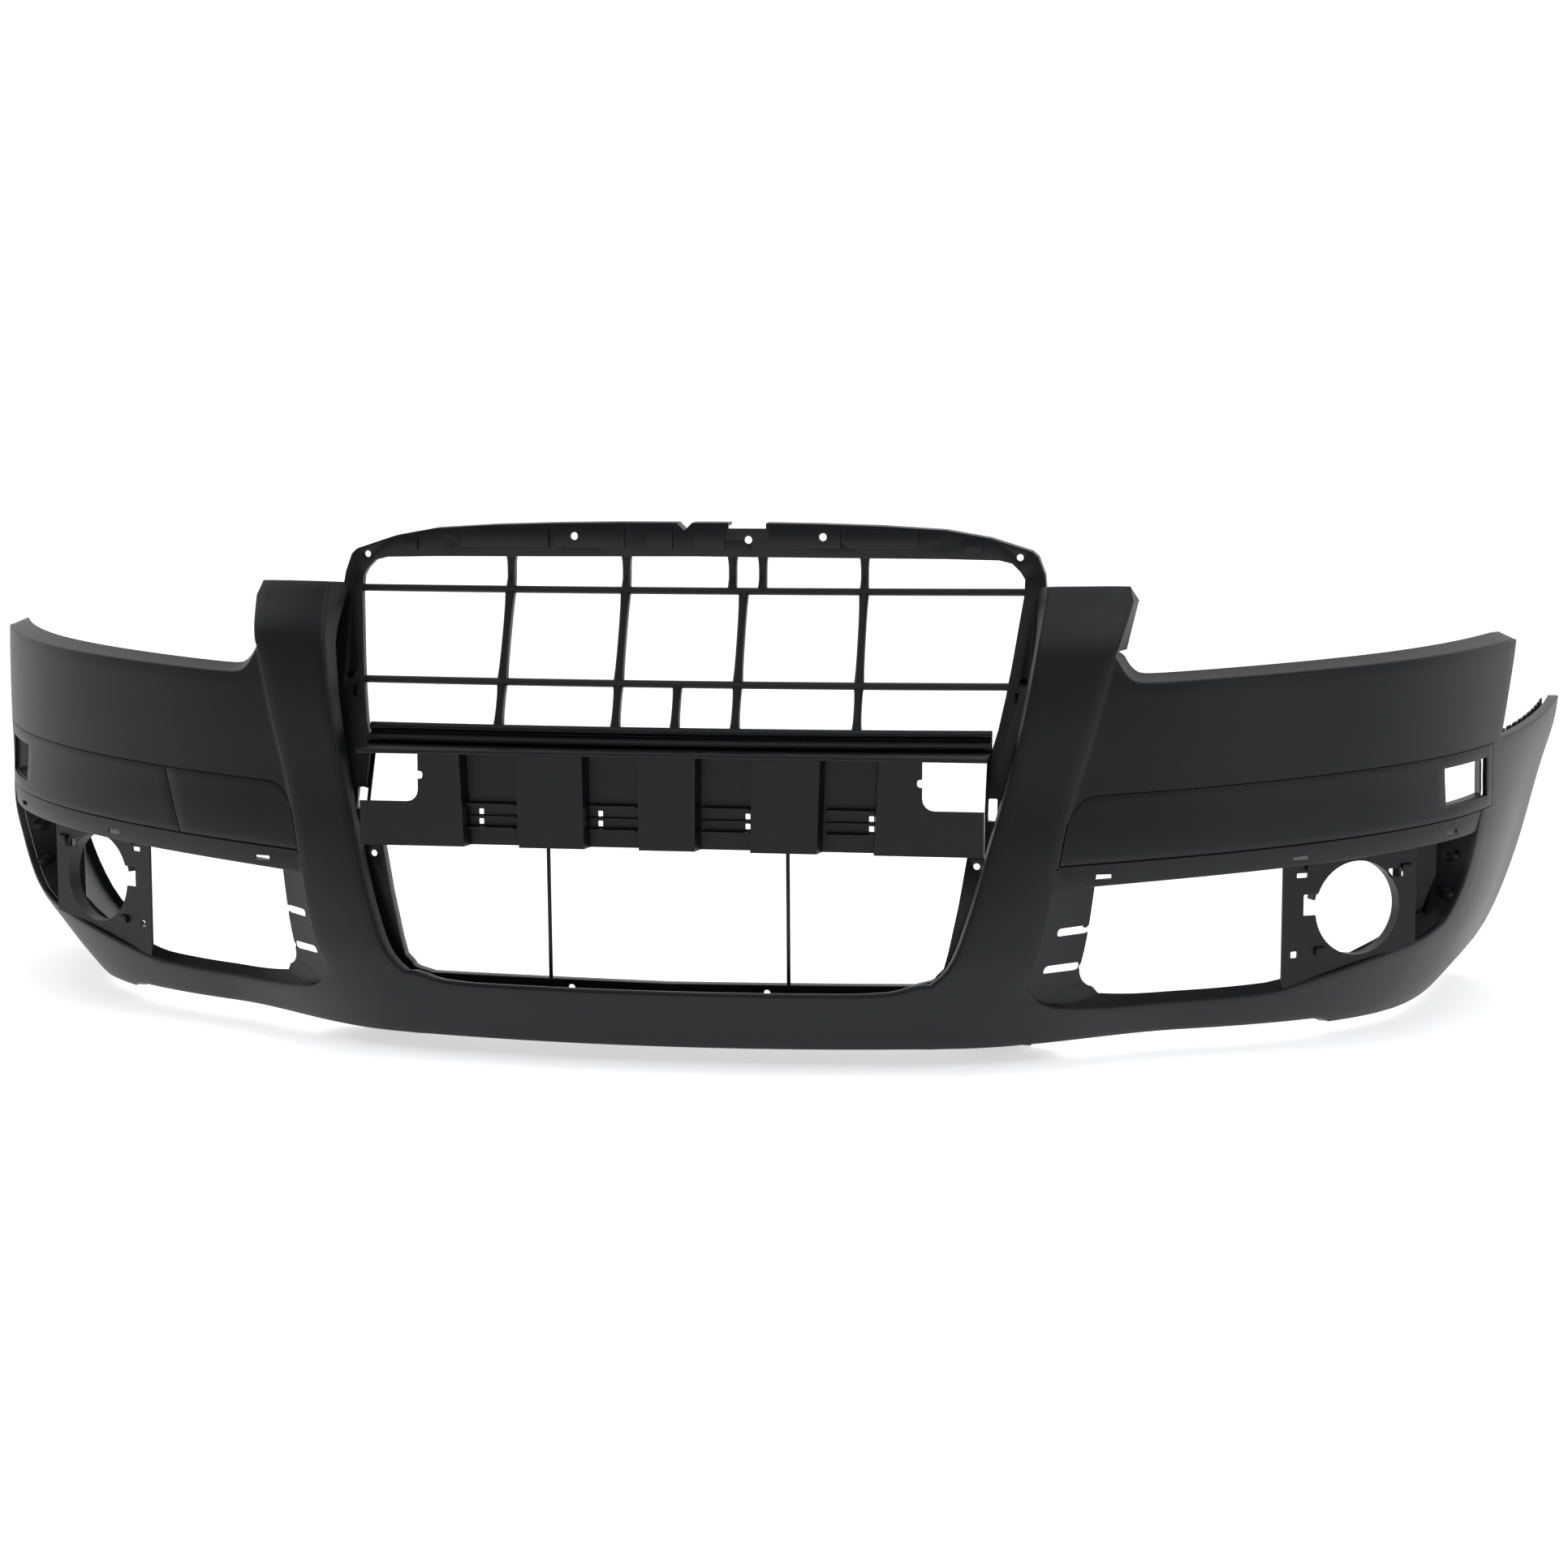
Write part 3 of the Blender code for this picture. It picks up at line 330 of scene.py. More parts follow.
def meshObject(name, bm):
    mesh = bpy.data.meshes.new(name)
    bm.to_mesh(mesh)
    bm.free()
    obj = bpy.data.objects.new(name, mesh)
    bpy.context.scene.collection.objects.link(obj)
    return obj


def choose(obj):
    bpy.ops.object.select_all(action="DESELECT")
    obj.select_set(True)
    bpy.context.view_layer.objects.active = obj


def smooth(obj, degrees=32):
    choose(obj)
    bpy.ops.object.shade_smooth_by_angle(angle=math.radians(degrees))


def modify(obj, kind, **settings):
    choose(obj)
    modifier = obj.modifiers.new(kind.lower(), kind)
    for name, value in settings.items():
        setattr(modifier, name, value)
    bpy.ops.object.modifier_apply(modifier=modifier.name)


def roundedFold(bm, rims, places, foldFor):
    # rolls an open edge over an arc and then straight back as a flange
    frames = {}
    for rim in rims:
        face = rim.link_faces[0]
        along = rim.verts[1].co - rim.verts[0].co
        out = along.cross(face.normal).normalized()
        if out.dot(face.calc_center_median() - rim.verts[0].co) > 0:
            out = -out
        for vert in rim.verts:
            frames.setdefault(vert, [Vector(), Vector()])
            frames[vert][0] += out
            frames[vert][1] += face.normal
    state = {}
    for vert, (out, normal) in frames.items():
        out, normal = out.normalized(), normal.normalized()
        if abs(vert.co.x) < 1e-6:
            out.x = normal.x = 0
        state[vert] = (places[vert], vert.co.copy(), out, -normal)
    edges = rims
    for turn in (30, 60, 90, None):
        before = {tuple(vert.co): data for vert, data in state.items()}
        made = bmesh.ops.extrude_edge_only(bm, edges=edges)["geom"]
        edges = [item for item in made if isinstance(item, bmesh.types.BMEdge) and len(item.link_faces) == 1
                 and all(isinstance(v, bmesh.types.BMVert) for v in item.verts)]
        fresh = {item for item in made if isinstance(item, bmesh.types.BMVert)}
        edges = [item for item in edges if item.verts[0] in fresh and item.verts[1] in fresh]
        state = {}
        for vert in fresh:
            data = before[tuple(vert.co)]
            state[vert] = data
        for vert, (key, root, out, inward) in state.items():
            radius, depth, rise, shift = foldFor(*key)
            if turn is None:
                flat = Vector((inward.x, inward.y, 0)).normalized()
                side = Vector((flat.y, -flat.x, 0))
                vert.co = root + (out * radius + flat * depth + side * shift) * mm
                vert.co.z += rise * mm
            else:
                angle = math.radians(turn)
                vert.co = root + (out * math.sin(angle) + inward * (1 - math.cos(angle))) * radius * mm


def makeCover():
    bm = bmesh.new()
    verts, places = {}, {}
    for c, nextC in zip(columns, columns[1:]):
        for r, nextR in zip(rows, rows[1:]):
            if not coverFace(c, r):
                continue
            corners = []
            for key in ((c, r), (nextC, r), (nextC, nextR), (c, nextR)):
                if key not in verts:
                    verts[key] = bm.verts.new(place(skinPoint(*net[key], channelDepth(*key))))
                    places[verts[key]] = key
                corners.append(verts[key])
            bm.faces.new(corners)
    bm.normal_update()
    rims = [item for item in bm.edges if item.is_boundary]
    rims = [item for item in rims if not all(places[vert][0] == centre for vert in item.verts)]
    rims = [item for item in rims if not any(low < places[vert][1] <= stripLow and places[vert][0] < stripOut
                                             and places[vert][0] >= crease for vert in item.verts)]
    roundedFold(bm, rims, places, foldOf)
    bmesh.ops.recalc_face_normals(bm, faces=bm.faces)
    if max(bm.faces, key=lambda face: face.calc_area()).normal.y > 0:
        bmesh.ops.reverse_faces(bm, faces=bm.faces)
    skin = meshObject("primedCover", bm)
    modify(skin, "MIRROR", use_axis=(True, False, False), merge_threshold=0.0001)
    modify(skin, "SOLIDIFY", thickness=cover["wall"] * mm, offset=-1.0, use_even_offset=False)
    smooth(skin, 38)
    return skin


def stripPiece(name, first, last, side, hole):
    # one length of the trim strip, drawn in by the gap and rounded along its front edges
    bm = bmesh.new()
    verts = {}
    chosen = [c for c in columns if first <= c <= last]
    levels = [r for r in rows if stripLow <= r <= stripHigh]
    for c, nextC in zip(chosen, chosen[1:]):
        for r, nextR in zip(levels, levels[1:]):
            if hole and markerIn <= c < outer and markLow <= r < markHigh:
                continue
            corners = []
            for key in ((c, r), (nextC, r), (nextC, nextR), (c, nextR)):
                if key not in verts:
                    s, z = net[key]
                    s += 0.35 * ((key[0] == first) - (key[0] == last))
                    spot = skinPoint(s, z)
                    spot.x *= side
                    verts[key] = bm.verts.new(place(spot))
                corners.append(verts[key])
            bm.faces.new(corners)
    if side < 0:
        bmesh.ops.reverse_faces(bm, faces=bm.faces)
    strip = meshObject(name, bm)
    modify(strip, "SOLIDIFY", thickness=cover["stripThick"] * mm, offset=-1.0, use_even_offset=True)
    modify(strip, "BEVEL", width=0.7 * mm, segments=2, limit_method="ANGLE", angle_limit=math.radians(50))
    smooth(strip, 40)
    return strip


# Materials
def linear(hexColour):
    values = [int(hexColour[k:k + 2], 16) / 255 for k in (1, 3, 5)]
    return [value / 12.92 if value <= 0.04045 else ((value + 0.055) / 1.055) ** 2.4
            for value in values] + [1.0]


def addNode(tree, kind, links=(), **settings):
    node = tree.nodes.new(kind)
    for name, value in settings.items():
        if name.startswith("in_"):
            key = name[3:]
            node.inputs[int(key) if key.isdigit() else key.replace("_", " ")].default_value = value
        else:
            setattr(node, name, value)
    for source, target in links:
        tree.links.new(source, node.inputs[target])
    return node


def mouldedPlastic(name, look):
    # polypropylene: a deep colour with a soft sheen, broken by the fine grain of the tool or the primer
    made = bpy.data.materials.new(name)
    made.use_nodes = True
    tree = made.node_tree
    shader = tree.nodes["Principled BSDF"]
    shader.inputs["IOR"].default_value = 1.5
    shader.inputs["Specular IOR Level"].default_value = 0.34
    shader.inputs["Metallic"].default_value = 0.0
    coords = addNode(tree, "ShaderNodeTexCoord").outputs["Object"]
    cloud = addNode(tree, "ShaderNodeTexNoise", [(coords, "Vector")], in_Scale=1 / (look["cloudMm"] * mm),
                    in_Detail=3.0, in_Roughness=0.5)
    grain = addNode(tree, "ShaderNodeTexNoise", [(coords, "Vector")], in_Scale=1 / (look["grainMm"] * mm),
                    in_Detail=2.0, in_Roughness=0.6)
    tone = addNode(tree, "ShaderNodeValToRGB", [(cloud.outputs["Fac"], "Fac")])
    tone.color_ramp.elements[0].position, tone.color_ramp.elements[1].position = 0.35, 0.65
    tone.color_ramp.elements[0].color = linear(look["dark"])
    tone.color_ramp.elements[1].color = linear(look["light"])
    rough = addNode(tree, "ShaderNodeMapRange", [(grain.outputs["Fac"], "Value")], in_3=look["roughLow"],
                    in_4=look["roughHigh"])
    bump = addNode(tree, "ShaderNodeBump", [(grain.outputs["Fac"], "Height")], in_Strength=look["bump"],
                   in_Distance=look["bumpMm"] * mm)
    tree.links.new(tone.outputs["Color"], shader.inputs["Base Color"])
    tree.links.new(rough.outputs["Result"], shader.inputs["Roughness"])
    tree.links.new(bump.outputs["Normal"], shader.inputs["Normal"])
    return made


# sprayed grey-black primer: an even satin that lifts softly towards the light
primerLook = {"dark": "#08090c", "light": "#0b0c10", "cloudMm": 160, "grainMm": 1.6, "roughLow": 0.40,
              "roughHigh": 0.50, "bump": 0.18, "bumpMm": 0.05}
# bare black moulding: the spark-eroded grain of the tool gives a deeper black with a broken sheen
blackLook = {"dark": "#030406", "light": "#050609", "cloudMm": 90, "grainMm": 2.2, "roughLow": 0.36,
             "roughHigh": 0.52, "bump": 0.25, "bumpMm": 0.08}
primedPlastic = mouldedPlastic("primed_polypropylene_satin", primerLook)
blackPlastic = mouldedPlastic("moulded_black_polypropylene", blackLook)


def finishPiece(obj, material, body, slot, *nodes):
    obj.data.materials.clear()
    obj.data.materials.append(material)
    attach(obj, body)
    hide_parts(*nodes)
    note("made " + obj.name)


def refined(node, width, segments=2, angle=30):
    # a CAD node's shape again, welded, with its facets joined and its edges rounded
    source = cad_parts[node]
    choose(source)
    bpy.ops.object.duplicate()
    copy = bpy.context.view_layer.objects.active
    copy.name = "moulded_" + node
    copy.parent = None
    bpy.ops.object.mode_set(mode="EDIT")
    bpy.ops.mesh.select_all(action="SELECT")
    bpy.ops.mesh.remove_doubles(threshold=0.00002)
    bpy.ops.mesh.dissolve_limited(angle_limit=math.radians(0.6))
    bpy.ops.object.mode_set(mode="OBJECT")
    modify(copy, "BEVEL", width=width * mm, segments=segments, limit_method="ANGLE",
           angle_limit=math.radians(angle), use_clamp_overlap=True)
    smooth(copy, 34)
    return copy


skin = makeCover()
finishPiece(skin, primedPlastic, "cover", "primed_plastic", "cover_skin")
stripRight = stripPiece("trimStripRight", stripIn, stripOut, 1, True)
finishPiece(stripRight, primedPlastic, "cover", "primed_plastic", "trim_strip_right")
stripLeft = stripPiece("trimStripLeft", split, stripOut, -1, True)
finishPiece(stripLeft, primedPlastic, "cover", "primed_plastic", "trim_strip_left")
towCap = stripPiece("towEyeCap", stripIn, split, -1, False)
finishPiece(towCap, primedPlastic, "towing_cap", "primed_plastic", "tow_cover")

# The black carrier: a sheet that leans back above the plate panel and bows back towards its ends
carrier = {
    "frontY": 37.0,
    "leastY": 4.0,
    "lean": 0.42,
    "bow": 22.0,
    "half": 345.0,
    "lowZ": 30.0,
    "topZ": 199.0,
    "upperBarZ": 164.0,
    "lowerBarZ": 71.5,
    "pitch": 122.5,
    "bezel": 29.0,
    "barWidth": 7.5,
    "barDepth": 20.0,
}


def carrierY(x, z):
    height = min(z, carrier["upperBarZ"] + 12) - carrier["lowZ"]
    middle = max(carrier["frontY"] + height * carrier["lean"], carrier["leastY"])
    return middle + carrier["bow"] * (x / carrier["half"]) ** 2


def openingHalf(z):
    return mouthHalf(min(z, 160)) - carrier["bezel"]


def loft(bm, rings, closed=True):
    # joins rings of points into one closed skin with capped ends
    rows = [[bm.verts.new(place(point)) for point in ring] for ring in rings]
    count = len(rows[0])
    for near, far in zip(rows, rows[1:]):
        for k in range(count if closed else count - 1):
            bm.faces.new([near[k], near[(k + 1) % count], far[(k + 1) % count], far[k]])
    if closed:
        bm.faces.new(rows[0])
        bm.faces.new(rows[-1])


def finishMesh(name, bm, bevel=0.0, degrees=34):
    bmesh.ops.recalc_face_normals(bm, faces=bm.faces)
    piece = meshObject(name, bm)
    if bevel:
        modify(piece, "BEVEL", width=bevel * mm, segments=2, limit_method="ANGLE",
               angle_limit=math.radians(30))
    smooth(piece, degrees)
    return piece


def addBlock(low, high, bevel=0.0, turn=0.0):
    # a rounded block between two corners, turned about its own upright axis
    middle = (Vector(low) + Vector(high)) / 2
    bpy.ops.object.select_all(action="DESELECT")
    bpy.ops.mesh.primitive_cube_add(size=1)
    block = bpy.context.active_object
    size = Vector(high) - Vector(low)
    spin = Matrix.Rotation(math.radians(turn), 4, "Z")
    block.data.transform(Matrix.Translation(place(middle)) @ spin @ Matrix.Diagonal((*(size * mm), 1)))
    if bevel:
        modify(block, "BEVEL", width=bevel * mm, segments=4, limit_method="NONE")
    return block


def addDisc(radius, depth, sides, spot, turn=0.0):
    # a round cutter whose axis runs from front to back
    bpy.ops.object.select_all(action="DESELECT")
    bpy.ops.mesh.primitive_cylinder_add(vertices=sides, radius=radius * mm, depth=depth * mm)
    disc = bpy.context.active_object
    spin = Matrix.Rotation(math.radians(turn), 4, "Z") @ Matrix.Rotation(math.pi / 2, 4, "X")
    disc.data.transform(Matrix.Translation(place(spot)) @ spin)
    return disc


def cutWith(piece, block):
    modify(piece, "BOOLEAN", operation="DIFFERENCE", solver="EXACT", object=block)
    bpy.data.objects.remove(block, do_unlink=True)
    smooth(piece, 34)


def join(first, *others):
    choose(first)
    for other in others:
        other.select_set(True)
    bpy.ops.object.join()
    return first


def mirrorCopy(piece, name):
    choose(piece)
    bpy.ops.object.duplicate()
    copy = bpy.context.view_layer.objects.active
    copy.name = name
    copy.data.transform(Matrix.Diagonal((-1, 1, 1, 1)))
    copy.data.flip_normals()
    smooth(copy, 34)
    return copy


def turnAt(s):
    return math.degrees(float(np.interp(s, planS, planTurn)))


# Grille: slim bars with rounded fronts that run into each other
def barSection(width, depth):
    half = width / 2
    return [(-half + 1, depth), (-half, 4.0), (-half + 0.8, 1.6), (-half + 2.2, 0.3), (half - 2.2, 0.3),
            (half - 0.8, 1.6), (half, 4.0), (half - 1, depth)]


def makeLattice():
    bm = bmesh.new()
    section = barSection(carrier["barWidth"], carrier["barDepth"])
    for z in (carrier["upperBarZ"], carrier["lowerBarZ"]):
        reach = openingHalf(z) + 2.5
        rings = []
        for k in range(-24, 25):
            x = reach * k / 24
            rings.append([(x, carrierY(x, z) + 1 + depth, z + across) for across, depth in section])
        loft(bm, rings)
    low, lower, upper, high = carrier["lowZ"] - 2, carrier["lowerBarZ"], carrier["upperBarZ"], carrier["topZ"]
    outside, inside = 1.5 * carrier["pitch"], 0.5 * carrier["pitch"]
    spans = [(x, low, lower) for x in (-outside, -inside, 0, inside, outside)]
    spans += [(x, lower, upper) for x in (-outside, -inside, inside, outside)]
    spans += [(x, upper, high) for x in (-outside, -inside, 49, 80, outside)]
    section = barSection(carrier["barWidth"] + 0.5, carrier["barDepth"] - 4)
    for x, start, stop in spans:
        rings = []
        for k in range(7):
            z = start + (stop - start) * k / 6
            flare = 1.2 * (abs(2 * k / 6 - 1) ** 3)
            rings.append([(x + across * (1 + flare / 4), carrierY(x, z) + 1.2 + depth, z)
                          for across, depth in section])
        loft(bm, rings)
    return finishMesh("grilleLattice", bm)


lattice = makeLattice()
barNodes = [node for node in sorted(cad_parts)
            if node.startswith(("grille_cross_bar", "grille_upright"))]
finishPiece(lattice, blackPlastic, "cover", "black_plastic", *barNodes)


def makeRail():
    # two rounded ridges with a groove between them, under the grille
    bm = bmesh.new()
    rings = []
    for k in range(-24, 25):
        x = 319.0 * k / 24
        back = carrierY(x, carrier["lowZ"])
        line = [(back, 30), (back - 4, 30), (back - 7, 28), (back - 8, 25.5), (back - 7, 23),
                (back - 3, 21.5), (back - 3, 20), (back - 12, 18.5), (back - 16, 16.5), (back - 17, 14),
                (back - 16, 11.5), (back - 12, 9.5), (4, 8.5), (0.6, 7.5), (-0.6, 6), (-0.6, 3.2),
                (back, 3.2)]
        rings.append([(x, y, z) for y, z in line])
    loft(bm, rings)
    return finishMesh("doubleRail", bm, 0.5)


finishPiece(makeRail(), blackPlastic, "cover", "black_plastic", "grille_lower_rail")

# Plate panel: pads and end fields stand forward, with ribs and slits in the hollows between them
plate = {
    "half": 316.0,
    "lowZ": -90.0,
    "topZ": 3.0,
    "depth": 18.0,
    "wall": 3.0,
    "notch": 255.0,
    "notchZ": -45.0,
    "taper": 0.02,            # how much narrower the pads are at the panel's lower edge
}


def makePlatePanel():
    pads = ((-plate["half"], -212), (-154, -86), (-29, 29), (86, 154), (212, plate["half"]))
    bm = bmesh.new()
    rows = []
    for step in range(7):
        z = plate["lowZ"] + (plate["topZ"] - plate["lowZ"]) * step / 6
        taper = 1.0 - plate["taper"] * (1 - step / 6)
        line = []
        for low, high in pads:
            if low > -plate["half"]:
                line.append((low * taper - 3, plate["depth"]))
                line.append((low * taper, 0.0))
            else:
                line.append((low, 0.0))
            if high < plate["half"]:
                line.append((high * taper, 0.0))
                line.append((high * taper + 3, plate["depth"]))
            else:
                line.append((high, 0.0))
        rows.append([(x, y, z) for x, y in line])
    loft(bm, rows, closed=False)
    bm.normal_update()
    if max(bm.faces, key=lambda face: face.calc_area()).normal.y > 0:
        bmesh.ops.reverse_faces(bm, faces=bm.faces)
    panel = meshObject("plateCarrierPanel", bm)
    modify(panel, "SOLIDIFY", thickness=plate["wall"] * mm, offset=-1.0)
    for side in (-1, 1):
        low, high = sorted((side * plate["notch"], side * 345))
        cutWith(panel, addBlock((low, -20, plate["notchZ"]), (high, 40, 60), 12))
        spot = side * plate["notch"]
        cutWith(panel, addBlock((spot - 5, -20, -22), (spot + 5, 40, -14), 3))
    for x in (-194, -71, 79, 203):
        for z in (-66, -56):
            cutWith(panel, addBlock((x - 2.5, 5, z - 2.8), (x + 2.5, 40, z + 2.8), 0.8))
    modify(panel, "BEVEL", width=0.9 * mm, segments=2, limit_method="ANGLE", angle_limit=math.radians(40))
    ribs = []
    for low, high in ((-208, -158), (-82, -33), (33, 82), (158, 208)):
        for z, proud in ((-48, 9), (-61, 4), (-72, 9)):
            ribs.append(addBlock((low, plate["depth"] - proud, z - 1.2),
                                 (high, plate["depth"] + 1, z + 1.2), 0.5))
    join(panel, *ribs)
    smooth(panel, 34)
    return panel


finishPiece(makePlatePanel(), blackPlastic, "cover", "black_plastic", "plate_panel")


# Hoop round the grille: the carrier node's shape with slots, a step, pads and pockets along its flange
def carrierPad(x0, x1, z0, z1, proud):
    bm = bmesh.new()
    rings = []
    for k in range(9):
        x = x0 + (x1 - x0) * k / 8
        rings.append([(x, carrierY(x, z0) - proud, z0), (x, carrierY(x, z1) - proud, z1),
                      (x, carrierY(x, z1) + 1, z1), (x, carrierY(x, z0) + 1, z0)])
    loft(bm, rings)
    return finishMesh("flangePad", bm, 0.7)


# each pad's two ends, its lower and upper edge, and how far it stands proud
padSpans = ((-236, -142, 207, 226, 2.4), (-136, -62, 207, 229, 1.6), (-40, -12, 206, 230, 2.4),
            (10, 42, 206, 230, 2.4), (88, 160, 207, 229, 2.4), (166, 238, 207, 226, 1.6),
            (-300, -284, 203, 216, 2.2), (284, 302, 203, 216, 2.2))


def legSlot(side):
    return addBlock((side * 322 - 4.5, 0, -57), (side * 322 + 4.5, 60, -35), 1.5)


def makeLeg(side, lowZ, highZ):
    # a cheek that closes the hoop's side towards the pillar
    rings = []
    for k in range(17):
        z = lowZ + (highZ - lowZ) * k / 16
        besidePlate = z <= 8 and highZ < 10
        inner, outside = 314.0 if besidePlate else openingHalf(z) + 3, mouthHalf(z) + 28
        y = carrierY(outside, z) + 3
        rings.append([(side * inner, y - 2, z), (side * outside, y + 3, z), (side * outside, y + 5, z),
                      (side * inner, y, z)])
    bm = bmesh.new()
    loft(bm, rings)
    leg = finishMesh("hoopLeg", bm)
    cutWith(leg, legSlot(side))
    return leg


def makeHoop():
    hoop = refined("grille_frame", 0.9)
    for side in (-1, 1):
        cutWith(hoop, legSlot(side))
        cutWith(hoop, addBlock((side * 341 - 1.5, 30, 55), (side * 341 + 1.5, 100, 66), 0.5))
    cutWith(hoop, addBlock((45.6, 70, 227.5), (84, 130, 250), 0.5))
    for x in (-248, 268):
        cutWith(hoop, addDisc(6, 3.4, 32, (x, carrierY(x, 212) - 1.2, 212)))
    flangePads = [carrierPad(*span) for span in padSpans]
    for x, z, radius in ((-115, 219, 4), (142, 219, 4)):
        for pad in flangePads:
            cutWith(pad, addBlock((x - radius, 60, z - radius), (x + radius, 130, z + radius), 3.2))
    join(hoop, *flangePads)
    smooth(hoop, 34)
    for side, lowZ, highZ in ((-1, -93, 8), (1, -93, 8), (-1, 8, 168), (1, 8, 168)):
        join(hoop, makeLeg(side, lowZ, highZ))
    smooth(hoop, 34)
    return hoop


finishPiece(makeHoop(), blackPlastic, "cover", "black_plastic", "grille_frame")

# Vent: painted liner with a rounded back corner, slots and snap hooks on its inner wall
vent = {"wall": 2.0, "taper": 56.0, "sill": 24.0, "lowShare": 0.92, "rim": 8.8, "corner": 24.0, "gap": 0.6}
backOffset = curve([(410, 40), (440, 42), (668, 58), (740, 66), (830, 66), (880, 50), (940, 46)])


def makeLiner():
    start, height = creaseS(cover["sillZ"]), vent["lowShare"]
    front = []
    for share in (1, .9, .8, .7, .6, .5, .4, .32, .25, .2, .16, .12, .09, .06, .03):
        z = lipZ(start) + height * share * (stripLowZ(start) - lipZ(start))
        front.append((creaseS(z) + vent["gap"], z, 0))
    for c in [c for c in columns if crease <= c <= outer]:
        s, z = net[(c, float(lip))]
        front.append((s + vent["gap"] * ((c == crease) - (c == outer)), z + vent["gap"], 1))
    cornerS = front[-1][0]
    for share in (.08, .16, .25, .35, .5, .65, .8, 1):
        z = lipZ(cornerS) + height * share * (stripLowZ(cornerS) - lipZ(cornerS))
        front.append((outerS(z) - vent["gap"], z, 0))
    back = []
    for s, z, floor in front:
        share = (s - start) / (cover["recessEnd"] - start)
        back.append([s + vent["taper"] * (1 - share) ** 2 - 6 * share, z + 10 * floor])
    turn = next(k for k, point in enumerate(front) if point[2])
    radius, base = vent["corner"], back[turn][1]
    side = min(back[:turn], key=lambda point: abs(point[1] - base - radius))[0]
    for k, point in enumerate(back):
        # the two legs meet in an arc at the intake's inner lower corner
        if k < turn and point[1] < base + radius:
            angle = math.radians(180 + 45 * (1 - (point[1] - base) / radius))
        elif k >= turn and point[0] < side + radius:
            angle = math.radians(270 - 45 * (1 - min(max((point[0] - back[turn][0]) / radius, 0), 1)))
        else:
            continue
        point[0], point[1] = side + radius * (1 + math.cos(angle)), base + radius * (1 + math.sin(angle))
    front = [(s, z) for s, z, floor in front]
    grid = []
    for step in range(7):
        share = step / 6
        row = []
        for (s, z), (deepS, deepZ) in zip(front, back):
            first = skinPoint(s, z, vent["rim"])
            last = wallPoint(deepS, deepZ, max(backOffset(deepS), inset(deepS, deepZ) + vent["sill"]))
            row.append(first.lerp(last, share))
        grid.append(row)
    bm = bmesh.new()
    loft(bm, grid, closed=False)
    bm.normal_update()
    liner = meshObject("ventLinerRight", bm)
    modify(liner, "SOLIDIFY", thickness=vent["wall"] * mm, offset=0.0)
    for low3, high3 in (((366, 34, -172), (440, 66, -164)), ((352, 30, -209), (430, 62, -201))):
        cutWith(liner, addBlock(low3, high3, 3.0))
    modify(liner, "BEVEL", width=0.5 * mm, segments=2, limit_method="ANGLE", angle_limit=math.radians(45))
    smooth(liner, 34)
    return liner


linerRight = makeLiner()
linerLeft = mirrorCopy(linerRight, "ventLinerLeft")
finishPiece(linerRight, primedPlastic, "cover", "primed_plastic", "vent_liner_right")
finishPiece(linerLeft, primedPlastic, "cover", "primed_plastic", "vent_liner_left")


def hooked(points):
    hooks = []
    for x, y, z in points:
        hooks.append(addBlock((x - 3, y - 7, z - 3.5), (x + 9, y + 2, z + 3.5), 1.2, 20))
        hooks.append(addBlock((x + 5, y - 9, z - 5), (x + 9, y - 4, z + 5), 1.2, 20))
    return hooks


def makeLedge():
    # a band behind the strip's lower edge, down in front of the vent and back again as its roof
    chosen = [c for c in columns if stripIn <= c <= outer]
    startS, stopS = net[(chosen[0], float(low))][0], net[(chosen[-1], float(low))][0]
    grid = []
    for depth, drop in ((5.5, -8.0), (5.0, -2.0), (2.6, 0.5), (1.6, 1.8), (1.8, 8.0), (2.4, 20.0),
                        (3.4, 22.0), (5.5, 22.6), (30.0, 18.6)):
        row = []
        for c in chosen:
            s, z = net[(c, float(low))]
            near = creaseS(z - drop) + 1.5 + max(depth - 8, 0) * vent["taper"] / 26
            far = outerS(min(z - drop, -62.5)) - 2 - depth / 4
            share = (s - startS) / (stopS - startS)
            row.append(skinPoint(near + share * (far - near), z - drop, depth))
        grid.append(row)
    bm = bmesh.new()
    loft(bm, grid, closed=False)
    shelf = meshObject("stripLedgeRight", bm)
    modify(shelf, "SOLIDIFY", thickness=2.0 * mm, offset=0.0)
    smooth(shelf, 34)
    return shelf


def makePocket(s, z):
    # an oval snap pocket on the vent's outer wall
    bpy.ops.object.select_all(action="DESELECT")
    bpy.ops.mesh.primitive_uv_sphere_add(segments=32, ring_count=16, radius=mm)
    pocket = bpy.context.active_object
    spin = Matrix.Rotation(math.radians(turnAt(s) + 80), 4, "Z") @ Matrix.Diagonal((13, 4, 7, 1))
    pocket.data.transform(Matrix.Translation(place(wallPoint(outerS(z) - 4, z, 34))) @ spin)
    return pocket


ledge = makeLedge()
for s in (442, 654, 860):
    spot, turn = skinPoint(s, stripLowZ(s) - 13.5, 4), turnAt(s)
    cutWith(ledge, addBlock(spot - Vector((9, 16, 2.4)), spot + Vector((9, 5, 2.4)), 1.2, turn))
    cutWith(ledge, addBlock(spot + Vector((-9, 6, 3)), spot + Vector((9, 40, -6)), 0.5, turn))
pockets = [makePocket(s, z) for s, z in ((886, -118), (884, -158))]
join(ledge, *hooked(((404, 96, -166), (396, 94, -201))), *pockets)
smooth(ledge, 34)
ledgeLeft = mirrorCopy(ledge, "stripLedgeLeft")
finishPiece(ledge, blackPlastic, "cover", "black_plastic", "strip_ledge_right")
finishPiece(ledgeLeft, blackPlastic, "cover", "black_plastic", "strip_ledge_left")

